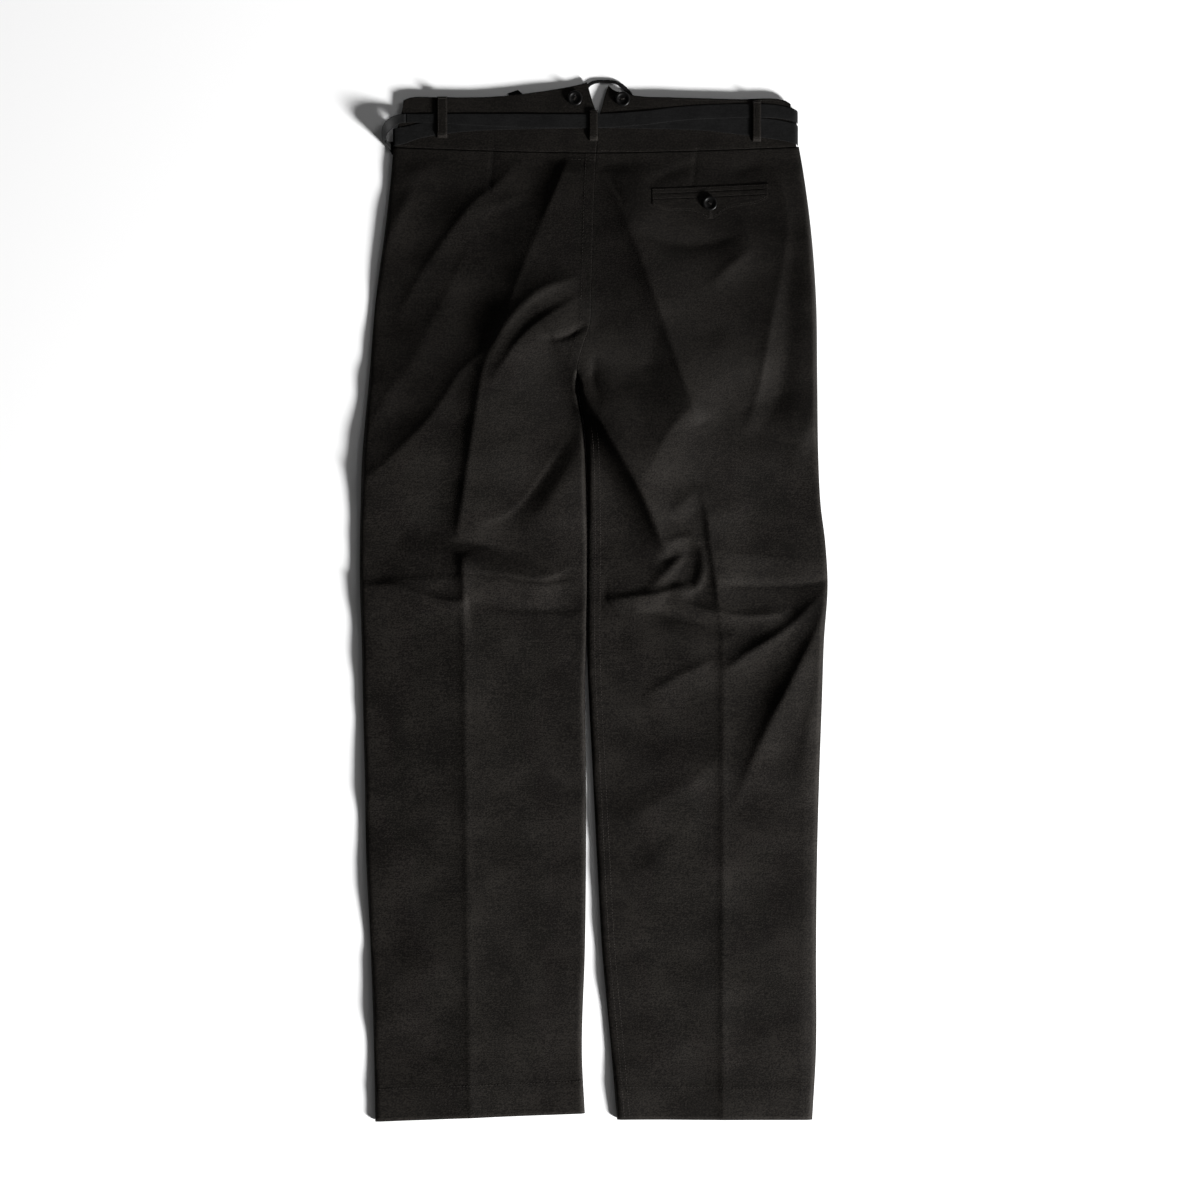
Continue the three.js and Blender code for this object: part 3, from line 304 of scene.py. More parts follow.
# The folds on a fine grid. The cloth is kept sharp along the creases and softened between them.
def makeRelief():
    xs = np.arange(relief["left"], relief["right"], relief["cell"])
    ys = np.arange(relief["low"], relief["high"], relief["cell"])
    x, y = np.meshgrid(xs, ys)
    height, nearest = foldHeights(x, y)
    soft = blurred(height, relief["soften"] / relief["cell"])
    share = smooth(relief["softFrom"], relief["softTo"], nearest)
    return mix(height, soft, blurred(share, relief["shareBlur"]))


reliefGrid = makeRelief()
print("folds laid, highest", round(float(reliefGrid.max()), 1), "mm")


def foldField(x, y):
    u = np.clip((x - relief["left"]) / relief["cell"], 0, reliefGrid.shape[1] - 1.001)
    v = np.clip((y - relief["low"]) / relief["cell"], 0, reliefGrid.shape[0] - 1.001)
    i, j = u.astype(int), v.astype(int)
    low = mix(reliefGrid[j, i], reliefGrid[j, i + 1], u - i)
    high = mix(reliefGrid[j + 1, i], reliefGrid[j + 1, i + 1], u - i)
    return mix(low, high, v - j)


# Slight unevenness of cloth that was folded away and laid out again.
def rumpleField(x, y):
    random = np.random.RandomState(rumple["seed"])
    height = np.zeros_like(x)
    for _ in range(rumple["waves"]):
        wave = mix(rumple["shortest"], rumple["longest"], random.rand())
        angle = random.normal(math.pi / 2, rumple["angleSpread"])
        phase = random.rand() * 2 * math.pi
        turn = 2 * math.pi / wave
        height += np.sin((x * math.cos(angle) + y * math.sin(angle)) * turn + phase) * wave / rumple["longest"]
    return height * rumple["height"]


waistLine = {"half": 214, "back": 474.2, "backRise": 6, "backBend": 1.6, "front": 477, "frontSag": 22}
hems = {"start": -231.5, "width": 222, "left": -551.7, "leftRise": 8.7, "right": -549.6}


def waistSeam(x):
    return waistLine["back"] + waistLine["backRise"] * np.abs(x / waistLine["half"]) ** waistLine["backBend"]


def frontSeam(x):
    return waistLine["front"] - waistLine["frontSag"] * (1 - (x / waistLine["half"]) ** 2)


def hemLine(x):
    return np.where(x < 0, hems["left"] + hems["leftRise"] * ((x - hems["start"]) / hems["width"]), hems["right"])


def lift(y):
    return cloth["frontLift"] * smooth(cloth["liftFrom"], cloth["liftTo"], y)


def seamHeight(y):
    return cloth["seamHeight"] + cloth["seamLift"] * lift(y)


seamWork = {"hemDepth": 36.0, "hemStep": 0.5, "hemFade": (1.2, 0.6), "hemWave": 13, "hemPucker": 0.3, "hemReach": 9,
            "seatWidth": 11.0, "seatStep": 0.25, "seatFade": (236, 262), "pucker": 0.08, "puckerWave": 17.0,
            "puckerReach": 12, "dartDepth": 0.5, "dartWidth": 2.4, "dartShape": 1.4, "dartFade": (6, 10)}
darts = [{"top": (-107, 478), "end": (-110, 433)}, {"top": (109, 477), "end": (105, 440)}]


# What the sewing does to the cloth's height: doubled hems, the seat seam's allowance, puckers and darts.
def seamField(x, y):
    above = y - hemLine(x)
    depth, (fadeIn, fadeOut) = seamWork["hemDepth"], seamWork["hemFade"]
    hem = seamWork["hemStep"] * (1 - smooth(depth - fadeIn, depth + fadeOut, above))
    fromSeam = column(middle, "x", y) - x
    width = seamWork["seatWidth"]
    seat = seamWork["seatStep"] * smooth(-0.2, 1.2, fromSeam) * (
        1 - smooth(width - 1, width + 0.8, fromSeam)) * smooth(*seamWork["seatFade"], y)
    waves = np.sin(2 * math.pi * x / seamWork["puckerWave"] + 2.2 * np.sin(x / 37))
    below = waistSeam(x) - y
    pucker = seamWork["pucker"] * waves * np.exp(-below / seamWork["puckerReach"]) * (below > 0)
    hemWaves = np.sin(2 * math.pi * x / seamWork["hemWave"] + 1.7 * np.sin(x / 29))
    hemWaves = hemWaves * np.exp(-((above - depth) / seamWork["hemReach"]) ** 2)
    total = hem + seat + pucker + seamWork["hemPucker"] * seamWork["pucker"] * hemWaves
    before, after = seamWork["dartFade"]
    for dart in darts:
        (x0, y0), (x1, y1) = dart["top"], dart["end"]
        s = np.clip((y0 - y) / (y0 - y1), 0, 1)
        away = np.hypot(x - mix(x0, x1, s), np.maximum(0, y1 - y))
        narrow = np.exp(-((away / seamWork["dartWidth"]) ** seamWork["dartShape"]))
        total -= seamWork["dartDepth"] * narrow * smooth(-before, after, y0 - y + before)
    return total


# The height of the back's outer face.
def backTop(x, y):
    calm = 1 - smooth(cloth["waist"] - cloth["calmDepth"], cloth["waist"] - 3, y)
    raised = foldField(x, y) * calm + rumpleField(x, y) * mix(rumple["atWaist"], 1, calm)
    trough = cloth["lowestTrough"]
    held = np.where(raised > 0, raised, -trough * np.tanh(-raised / trough))
    return cloth["legTop"] + held + seamField(x, y)


def addObject(name, data):
    made = bpy.data.objects.new(name, data)
    bpy.context.scene.collection.objects.link(made)
    return made


def makeObject(name, points, faces, material):
    mesh = bpy.data.meshes.new(name)
    mesh.from_pydata((np.asarray(points) * mm).tolist(), [], faces if isinstance(faces, list) else faces.tolist())
    mesh.materials.append(material)
    mesh.polygons.foreach_set("use_smooth", [True] * len(mesh.polygons))
    mesh.update()
    return addObject(name, mesh)


# A closed wall between two grids of points, its faces turned outwards.
def wallObject(name, outer, inner, material):
    rows, columns = outer.shape[:2]
    index = np.arange(rows * columns).reshape(rows, columns)
    shift = rows * columns
    a, b, c, d = index[:-1, :-1], index[:-1, 1:], index[1:, 1:], index[1:, :-1]
    quads = [np.stack([a, b, c, d], -1).reshape(-1, 4), np.stack([a, d, c, b], -1).reshape(-1, 4) + shift]

    def rim(start, end):
        return np.stack([end, start, start + shift, end + shift], -1)

    quads.append(rim(index[0, :-1], index[0, 1:]))
    quads.append(rim(index[-1, 1:], index[-1, :-1]))
    quads.append(rim(index[1:, 0], index[:-1, 0]))
    quads.append(rim(index[:-1, -1], index[1:, -1]))
    faces = np.concatenate(quads)
    points = np.concatenate([outer.reshape(-1, 3), inner.reshape(-1, 3)])
    corner = points[faces]
    volume = np.einsum("ij,ij->i", corner[:, 0], np.cross(corner[:, 1], corner[:, 2])).sum()
    volume += np.einsum("ij,ij->i", corner[:, 0], np.cross(corner[:, 2], corner[:, 3])).sum()
    if volume < 0:
        faces = faces[:, ::-1]
    return makeObject(name, points, faces, material)


# How far each point's face looks up, from 0 to 1.
def upright(points):
    alongRows = np.gradient(points, axis=0)
    alongColumns = np.gradient(points, axis=1)
    normal = np.cross(alongRows, alongColumns)
    return np.abs(normal[..., 2]) / np.maximum(np.linalg.norm(normal, axis=-1), 1e-9)


panelGrid = {"bends": 8, "width": 225, "leastGap": 0.4, "leastSlope": 0.5, "leastRoom": 0.5, "frontStep": 7.0}
joinDepth = {"back": 36, "front": 60}


# One leg's back or front, curled round at its side and inseam and cut straight at the seat seam.
def legPanel(name, side, face, material, step):
    folded = int((cloth["waist"] - cloth["shin"]) / step)
    plain = int((cloth["shin"] - cloth["hem"]) / (2 * step))
    nominal = np.concatenate([np.linspace(cloth["waist"], cloth["shin"], folded, endpoint=False),
                              np.linspace(cloth["shin"], cloth["hem"], plain + 1)])[:, None]
    rows = len(nominal)
    bends = np.radians(np.linspace(0, 90, panelGrid["bends"]))
    between = int(panelGrid["width"] / step)
    outside = column(sides, side, nominal)
    gap = np.maximum(panelGrid["leastGap"], column(middle, "gap", nominal)) / 2
    inside = column(middle, "x", nominal) + (gap if side == "right" else -gap)
    inward = 1 if side == "left" else -1
    radius, thick = cloth["edgeRadius"], cloth["thick"]
    curl = 1 - smooth(cloth["crotch"] - cloth["crotchTurn"], cloth["crotch"], nominal)
    fromOutside = outside + inward * radius * (1 - np.cos(bends))
    fromInside = (inside - inward * radius * (1 - np.cos(bends)))[:, ::-1]
    share = np.linspace(0, 1, between + 2)[1:-1]
    spread = mix(outside + inward * radius, inside - inward * radius, share)
    x = np.concatenate([fromOutside, spread, fromInside], axis=1)
    sink = np.concatenate([np.repeat(1 - np.sin(bends)[None], rows, 0), np.zeros_like(spread),
                           curl * (1 - np.sin(bends))[None, ::-1]], axis=1)
    offset = np.concatenate([np.repeat(np.cos(bends)[None], rows, 0), np.zeros_like(spread),
                             -curl * np.cos(bends)[None, ::-1]], axis=1) * inward * thick
    depth = joinDepth[face]
    waistShare = np.clip((nominal - cloth["waist"] + depth) / depth, 0, 1)
    hemShare = np.clip((cloth["hem"] + depth - nominal) / depth, 0, 1)
    seam = waistSeam(x) if face == "back" else frontSeam(x)
    y = nominal + waistShare * (seam - cloth["waist"]) + hemShare * (hemLine(x) - cloth["hem"])
    joint = seamHeight(y) + (cloth["seamGap"] if face == "back" else -cloth["seamGap"])
    if face == "back":
        top = backTop(x, y)
        slope = np.maximum(panelGrid["leastSlope"], upright(np.stack([x, y, top], -1)))
        under = np.maximum(top - thick / slope, thick + lift(y) + panelGrid["leastRoom"])
    else:
        top = lift(y)
        under = top + thick
    outer = np.stack([x, y, mix(top, joint, sink)], -1)
    inner = np.stack([x + offset, y, mix(under, joint, sink)], -1)
    return wallObject(name, outer, inner, material)


# The last places before an edge, each with how far it is from the edge and its share of the rounding
edgeRows = tableOf("away drop", (0, 1), (0.3, 0.35), (0.8, 0.06))
edgeFlat = {"from": 1.4, "fewest": 4}


# Shares from 0 to 1 across a piece, close together at both ends, with how far each end is rounded.
def edgeSpaced(size, step):
    first, count = edgeFlat["from"] / size, max(edgeFlat["fewest"], int(size / step))
    inner = np.linspace(first, 1 - first, count)
    ends = np.array([row["away"] for row in edgeRows]) / size
    drops = [row["drop"] for row in edgeRows]
    return np.concatenate([ends, inner, 1 - ends[::-1]]), np.array(drops + [0] * len(inner) + drops[::-1], float)


# A cloth piece on the plan: place(u, v) gives x, y and the height of its top, in millimetres.
def flatPiece(name, place, size, step, thick, material, rounding):
    us, dropU = edgeSpaced(size[0], step)
    vs, dropV = edgeSpaced(size[1], step)
    u, v = np.meshgrid(us, vs)
    drop = np.maximum(dropU[None, :], dropV[:, None]) * rounding
    x, y, z = place(u, v)
    outer = np.stack([x, y, z - drop], -1)
    inner = np.stack([x, y, z - thick + drop], -1)
    return wallObject(name, outer, inner, material)


# Node groups and materials

# A new node group. Each row is a socket's name, its kind and, for some, its value.
def makeGroup(name, kind, inputs, outputs):
    tree = bpy.data.node_groups.new(name, kind)
    for direction, rows in (("INPUT", inputs), ("OUTPUT", outputs)):
        for title, sort, *value in rows:
            made = tree.interface.new_socket(name=title, in_out=direction, socket_type="NodeSocket" + sort)
            if value:
                made.default_value = value[0]
    return tree, tree.nodes.new("NodeGroupInput").outputs, tree.nodes.new("NodeGroupOutput").inputs


# Gives each socket its constant, or links it to another node's output.
def setSockets(tree, sockets, values):
    for key, value in values.items():
        if isinstance(value, bpy.types.NodeSocket):
            tree.links.new(value, sockets[key])
        else:
            sockets[key].default_value = value


# Makes a node and gives its outputs.
def addNode(tree, kind, values=None, **settings):
    node = tree.nodes.new(kind)
    for key, value in settings.items():
        setattr(node, key, value)
    setSockets(tree, node.inputs, values or {})
    return node.outputs


# A sum, a product or the like of values, each a number or another node's output.
def addMath(tree, operation, *values):
    return addNode(tree, "ShaderNodeMath", dict(enumerate(values)), operation=operation)[0]


# The sum of some values, each times its share.
def addShares(tree, *terms):
    parts = [addMath(tree, "MULTIPLY", value, share) for value, share in terms]
    total = parts.pop()
    while parts:
        total = addMath(tree, "ADD", parts.pop(), total)
    return total


def addRamp(tree, value, dark, light, low=0.0, high=1.0):
    ramp = tree.nodes.new("ShaderNodeValToRGB")
    first, last = ramp.color_ramp.elements
    first.position, last.position = low, high
    first.color, last.color = (*dark, 1), (*light, 1)
    tree.links.new(value, ramp.inputs["Fac"])
    return ramp.outputs["Color"]


def newMaterial(name):
    material = bpy.data.materials.new(name)
    material.use_nodes = True
    tree = material.node_tree
    return material, tree, tree.nodes["Principled BSDF"].inputs


# Noise stretched along each axis, as its scale, detail and share: fine grain, then slubs in the two directions.
grainRows = tableOf("scale detail share", ((520, 800, 600), 2.0, 0.68), ((70, 620, 300), 2.5, 0.22),
                    ((620, 110, 300), 2.0, 0.1))


# Plain weave with uneven threads: a height for bump and a shade for colour.
def buildWeaveGroup():
    tree, given, out = makeGroup("unevenWeave", "ShaderNodeTree", [
        ("Vector", "Vector"), ("Threads per Metre", "Float", 1700), ("Slub", "Float", 0.5)], [
        ("Height", "Float"), ("Shade", "Float")])
    split = addNode(tree, "ShaderNodeSeparateXYZ", {0: given["Vector"]})
    turn = addMath(tree, "MULTIPLY", given["Threads per Metre"], math.pi)
    waveX, waveY = [addMath(tree, "SINE", addMath(tree, "MULTIPLY", split[k], turn)) for k in (0, 1)]
    weave = addShares(tree, (addMath(tree, "MULTIPLY", waveX, waveY), 0.5), (addMath(tree, "ABSOLUTE", waveY), 0.5))
    grains = []
    for row in grainRows:
        spread = addNode(tree, "ShaderNodeMapping", {"Vector": given["Vector"], "Scale": row["scale"]})[0]
        grain = addNode(tree, "ShaderNodeTexNoise", {"Vector": spread, "Scale": 1.0, "Detail": row["detail"]})[0]
        grains.append((grain, row["share"]))
    both = addShares(tree, *grains)
    height = addShares(tree, (weave, 0.35), (both, given["Slub"]))
    setSockets(tree, out, {"Height": height, "Shade": both})
    return tree


# Broad blotches where cloth has been washed and handled.
def buildPatinaGroup():
    tree, given, out = makeGroup("washedBlotches", "ShaderNodeTree", [("Vector", "Vector"), ("Size", "Float", 30)],
                                 [("Amount", "Float")])
    broad = addNode(tree, "ShaderNodeTexNoise", {"Vector": given["Vector"], "Scale": given["Size"], "Detail": 5,
                                                 "Roughness": 0.6})
    setSockets(tree, out, {"Amount": broad[0]})
    return tree


# Painted shade: the colour is darkened from the legs towards the seat and hips, up to the height seatFrom in metres,
# standing in for the lamp's fall-off.
def buildSeatPaintedShadeGroup(seatFrom=0.28):
    tree, given, out = makeGroup("paintedShadeTowardsSeat", "ShaderNodeTree", [
        ("Vector", "Vector"), ("Color", "Color"), ("Seat Shade", "Float", 0.6)], [("Color", "Color")])
    parts = addNode(tree, "ShaderNodeSeparateXYZ", {0: given["Vector"]})
    height = addNode(tree, "ShaderNodeMapRange", {
        "Value": parts["Y"], "From Min": 0.0, "From Max": seatFrom, "To Min": 1.0, "To Max": given["Seat Shade"]},
        interpolation_type="SMOOTHSTEP")
    shaded = addNode(tree, "ShaderNodeVectorMath", {0: given["Color"], "Scale": height[0]}, operation="SCALE")
    setSockets(tree, out, {"Color": shaded[0]})
    return tree


weaveGroup = buildWeaveGroup()
patinaGroup = buildPatinaGroup()
seatPaintedShadeGroup = buildSeatPaintedShadeGroup()


def clothMaterial(name, look):
    material, tree, shader = newMaterial(name)
    place = addNode(tree, "ShaderNodeTexCoord")["Object"]
    weave = addNode(tree, "ShaderNodeGroup", {
        "Vector": place, "Threads per Metre": look["threads"], "Slub": look["slub"]}, node_tree=weaveGroup)
    patina = addNode(tree, "ShaderNodeGroup", {"Vector": place, "Size": look["blotch"]}, node_tree=patinaGroup)
    shade = addShares(tree, (weave["Shade"], look["streak"]), (patina["Amount"], 1 - look["streak"]))
    color = addRamp(tree, shade, look["dark"], look["light"], *look["ramp"])
    # Painted shade: the colour is darkened towards the seat and hips.
    paintedShade = addNode(tree, "ShaderNodeGroup", {"Vector": place, "Color": color, "Seat Shade": look["seatPaintedShade"]},
                   node_tree=seatPaintedShadeGroup)
    bump = addNode(tree, "ShaderNodeBump", {
        "Strength": look["bump"], "Distance": look["relief"], "Height": weave["Height"]})
    setSockets(tree, shader, {
        "Base Color": paintedShade["Color"], "Normal": bump["Normal"], "Roughness": look["roughness"],
        "Specular IOR Level": look["specular"], "Specular Tint": (*look["glossTint"], 1),
        "Sheen Weight": look["sheen"], "Sheen Roughness": 0.5, "Sheen Tint": (*look["sheenTint"], 1)})
    return material


# In each look, the seat's share is painted shade: at the seat and hips the colour is scaled down to it.
canvasLook = {
    "threads": 1500, "slub": 1.0, "bump": 0.7, "relief": 0.0005, "blotch": 22, "streak": 0.74, "seatPaintedShade": 0.6,
    "ramp": (0.45, 0.58), "dark": (0.0004, 0.0003, 0.0003), "light": (0.0098, 0.0086, 0.0074), "roughness": 0.58,
    "specular": 0.1, "glossTint": (1.0, 0.92, 0.84), "sheen": 0.03, "sheenTint": (1.0, 0.9, 0.8)}
tapeLook = {
    "threads": 2100, "slub": 0.8, "bump": 0.6, "relief": 0.0003, "blotch": 40, "streak": 0.6, "seatPaintedShade": 1.0,
    "ramp": (0.42, 0.6), "dark": (0.0008, 0.0008, 0.0008), "light": (0.0046, 0.0046, 0.0046), "roughness": 0.62,
    "specular": 0.1, "glossTint": (1.0, 1.0, 1.0), "sheen": 0.03, "sheenTint": (0.95, 0.97, 1.0)}
threadLook = {
    "threads": 3200, "slub": 0.5, "bump": 0.3, "relief": 0.0001, "blotch": 60, "streak": 0.5, "seatPaintedShade": 0.8,
    "ramp": (0.3, 0.7), "dark": (0.006, 0.005, 0.0043), "light": (0.02, 0.0175, 0.015), "roughness": 0.6,
    "specular": 0.14, "glossTint": (1.0, 0.94, 0.88), "sheen": 0.1, "sheenTint": (1.0, 0.95, 0.9)}
paleThreadLook = dict(threadLook, dark=(0.012, 0.01, 0.009), light=(0.034, 0.029, 0.026))
# Painted shade: the dart stitches are drawn near black, darker than the canvas, for the shade in the dart's crease.
paintedShadeThreadLook = dict(threadLook, dark=(0.0008, 0.0007, 0.0006), light=(0.003, 0.0026, 0.0022), specular=0.05)

canvas = clothMaterial("washedCanvas", canvasLook)
tapeCloth = clothMaterial("wovenTape", tapeLook)
seamThread = clothMaterial("sewingThread", threadLook)
paleThread = clothMaterial("paleTackThread", paleThreadLook)
# Thread material with painted shade, used for the darts.
paintedShadeThread = clothMaterial("threadInPaintedShade", paintedShadeThreadLook)


buttonLook = {"grain": 260, "dark": (0.0012, 0.0012, 0.0013), "light": (0.003, 0.0028, 0.0026),
              "roughness": (0.3, 0.42), "specular": 0.14, "coat": 0.02, "coatRoughness": 0.2}


def buttonMaterial():
    material, tree, shader = newMaterial("polishedButton")
    place = addNode(tree, "ShaderNodeTexCoord")["Object"]
    noise = addNode(tree, "ShaderNodeTexNoise", {
        "Vector": place, "Scale": buttonLook["grain"], "Detail": 4})[0]
    color = addRamp(tree, noise, buttonLook["dark"], buttonLook["light"])
    smoothest, roughest = buttonLook["roughness"]
    rough = addNode(tree, "ShaderNodeMapRange", {"Value": noise, "To Min": smoothest, "To Max": roughest})[0]
    setSockets(tree, shader, {
        "Base Color": color, "Roughness": rough, "Specular IOR Level": buttonLook["specular"],
        "Coat Weight": buttonLook["coat"], "Coat Roughness": buttonLook["coatRoughness"]})
    return material


buttonGloss = buttonMaterial()
print("materials ready")

# Stitches: one short thread set along a path again and again
stitchSizes = {"length": 2.5, "pitch": 3.4, "thickness": 0.45, "flatness": 0.7, "lie": 0.05, "seed": 3, "runStep": 1.5}


def buildStitchTree():
    tree, given, out = makeGroup("stitchesAlongPath", "GeometryNodeTree", [
        ("Path", "Geometry"), ("Pitch", "Float", 0.0034), ("Length", "Float", 0.0025), ("Thickness", "Float", 0.0005),
        ("Unevenness", "Float", 0.12), ("Seed", "Int", 3), ("Thread", "Material")], [("Stitches", "Geometry")])
    even = addNode(tree, "GeometryNodeResampleCurve", {"Curve": given["Path"], "Length": given["Pitch"]},
                   mode="LENGTH")
    tangent = addNode(tree, "GeometryNodeInputTangent")
    turn = addNode(tree, "FunctionNodeAlignRotationToVector", {"Vector": tangent[0]}, axis="X")
    stored = tree.nodes.new("GeometryNodeCaptureAttribute")
    stored.capture_items.new("ROTATION", "Turn")
    setSockets(tree, stored.inputs, {"Geometry": even[0], "Turn": turn[0]})
    thread = addNode(tree, "GeometryNodeMeshUVSphere", {"Segments": 8, "Rings": 6, "Radius": 0.5})
    flat = addMath(tree, "MULTIPLY", given["Thickness"], stitchSizes["flatness"])
    size = addNode(tree, "ShaderNodeCombineXYZ", {0: given["Length"], 1: given["Thickness"], 2: flat})
    least, most = [addMath(tree, way, 1.0, given["Unevenness"]) for way in ("SUBTRACT", "ADD")]
    uneven = addNode(tree, "FunctionNodeRandomValue", {2: least, 3: most, "Seed": given["Seed"]}, data_type="FLOAT")
    scaled = addNode(tree, "ShaderNodeVectorMath", {0: size[0], "Scale": uneven[1]}, operation="SCALE")
    points = addNode(tree, "GeometryNodeCurveToPoints", {"Curve": stored.outputs["Geometry"]}, mode="EVALUATED")
    place = addNode(tree, "GeometryNodeInstanceOnPoints", {
        "Points": points["Points"], "Instance": thread["Mesh"], "Rotation": stored.outputs["Turn"],
        "Scale": scaled[0]})
    real = addNode(tree, "GeometryNodeRealizeInstances", {0: place[0]})
    finish = addNode(tree, "GeometryNodeSetMaterial", {"Geometry": real[0], "Material": given["Thread"]})
    setSockets(tree, out, {0: finish[0]})
    return tree


stitchTree = buildStitchTree()


# Rows of stitches as one plain mesh. Each run is a list of x, y, z places in millimetres.
def stitchRows(name, runs, material, pitch=None, length=None, thickness=None):
    curve = bpy.data.curves.new(name + "Path", "CURVE")
    curve.dimensions = "3D"
    for run in runs:
        spline = curve.splines.new("POLY")
        spline.points.add(len(run) - 1)
        for point, (x, y, z) in zip(spline.points, run):
            point.co = (x * mm, y * mm, z * mm, 1)
    holder = addObject(name + "Path", curve)
    modifier = holder.modifiers.new("stitches", "NODES")
    modifier.node_group = stitchTree
    values = {"Pitch": (pitch or stitchSizes["pitch"]) * mm, "Length": (length or stitchSizes["length"]) * mm,
              "Thickness": (thickness or stitchSizes["thickness"]) * mm, "Seed": stitchSizes["seed"],
              "Thread": material}
    for item in stitchTree.interface.items_tree:
        if item.in_out == "INPUT" and item.name in values:
            modifier[item.identifier] = values[item.name]
    bpy.context.view_layer.update()
    evaluated = holder.evaluated_get(bpy.context.evaluated_depsgraph_get())
    mesh = bpy.data.meshes.new_from_object(evaluated)
    holder.modifiers.remove(modifier)
    bpy.data.objects.remove(holder)
    bpy.data.curves.remove(curve)
    mesh.name = name
    mesh.polygons.foreach_set("use_smooth", [True] * len(mesh.polygons))
    piece = addObject(name, mesh)
    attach(piece, "root")


# Places along a path on the plan, each at the height of the cloth under it.
def runOn(surface, points):
    route = curveThrough(points, max(2, int(lengthOf(points) / stitchSizes["runStep"])))
    x, y = route[:, 0], route[:, 1]
    return np.stack([x, y, surface(x, y) + stitchSizes["lie"]], 1).tolist()


# Panels


def settle(piece, nodes):
    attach(piece, "root")
    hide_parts(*nodes)


for side in ("left", "right"):
    front = legPanel("canvas_front_" + side, side, "front", canvas, panelGrid["frontStep"])
    settle(front, ["front_" + side])
    back = legPanel("canvas_back_" + side, side, "back", canvas, cloth["gridStep"])
    settle(back, ["back_" + side])
print("legs ready")

# Waistbands
band = {"thick": 1.8, "top": 5.2, "frontThick": 1.5, "gap": 0.25, "backGap": 0.1, "seamStep": 0.25,
        "join": (2, 12), "lean": 1.7, "leanRise": (518, 546), "leanReach": (20, 66), "notch": 4, "uneven": 0.5,
        "size": (212, 60), "step": 2.4, "rounding": 0.15, "frontSize": (210, 46), "frontStep": 5,
        "frontRounding": 0.4, "frontMiddle": 2.7, "frontTop": 500, "frontTopRise": 24, "frontHalf": 208}
# Each end's x at its foot and its top, and the heights on the plan between which it turns
bandEnds = {"left": (-210.4, -201.4, 484, 528), "right": (214.9, 208.4, 474, 516)}
notch = tableOf("y left right", (474, 2.5, 2.9), (508, 3.9, 4.3), (512, 4.0, 4.6), (515, 3.2, 5.8), (522, 0.4, 8.2),
    (536, -3.8, 11.6), (548.6, -7.2, 15.4))
bandTops = {
    "left": tableOf("x y", (-212, 525), (-201, 529.6), (-195, 532), (-166, 532.7), (-120, 532.7), (-89, 534.6),
        (-57, 538.6), (-36, 542), (-20, 545.2), (-7.2, 548.6)),
    "right": tableOf("x y", (214, 520), (206, 527.2), (197, 530.4), (155, 530.6), (113, 531.6), (81, 532.6),
        (49, 533.8), (28, 538), (20, 541.2), (15.4, 545.6)),
}


def bandEnd(side, y):
    foot, top, low, high = bandEnds[side]
    return mix(foot, top, smooth(low, high, y))


# The height of the back band's outer face. It leans back beside the notch.
def bandHeight(x, y):
    lean = band["lean"] * smooth(*band["leanRise"], y) * (1 - smooth(*band["leanReach"], np.abs(x - band["notch"])))
    uneven = 0.12 * np.sin(x / 9 + 1.3 * np.sin(y / 11)) + 0.1 * np.sin(x / 23 + y / 8)
    return band["top"] - lean + uneven * band["uneven"]


def backBandPlace(side):
    tops = bandTops[side]
    last = tops[-1]

    def place(u, v):
        x = mix(bandEnd(side, mix(480, 526, v)), column(notch, side, mix(474, 548, v)), u)
        beyond = (x > last["x"]) if side == "left" else (x < last["x"])
        top = np.where(beyond, last["y"], column(tops, "y", x, "x"))
        seam = waistSeam(x)
        y = mix(seam + band["backGap"], top, v)
        level = bandHeight(x, y)
        joined = np.maximum(level, backTop(x, seam - 1) + band["seamStep"])
        return x, y, mix(joined, level, smooth(*band["join"], y - seam))
    return place


def frontBandPlace(side):
    sign = -1 if side == "left" else 1

    def place(u, v):
        x = mix(bandEnd(side, mix(477, 524, v)) - sign, band["frontMiddle"] + sign * 0.2, u)
        top = band["frontTop"] + band["frontTopRise"] * (x / band["frontHalf"]) ** 2
        y = mix(frontSeam(x) + band["gap"], top, v)
        return x, y, np.full_like(x, cloth["frontLift"] + band["frontThick"])
    return place


for side in ("left", "right"):
    piece = flatPiece("waistband_back_" + side + "_cloth", backBandPlace(side), band["size"], band["step"],
                      band["thick"], canvas, band["rounding"])
    settle(piece, ["waistband_back_" + side])
    piece = flatPiece("waistband_front_" + side + "_cloth", frontBandPlace(side), band["frontSize"],
                      band["frontStep"], band["frontThick"], canvas, band["frontRounding"])
    settle(piece, ["waistband_front_" + side])
print("waistbands ready")

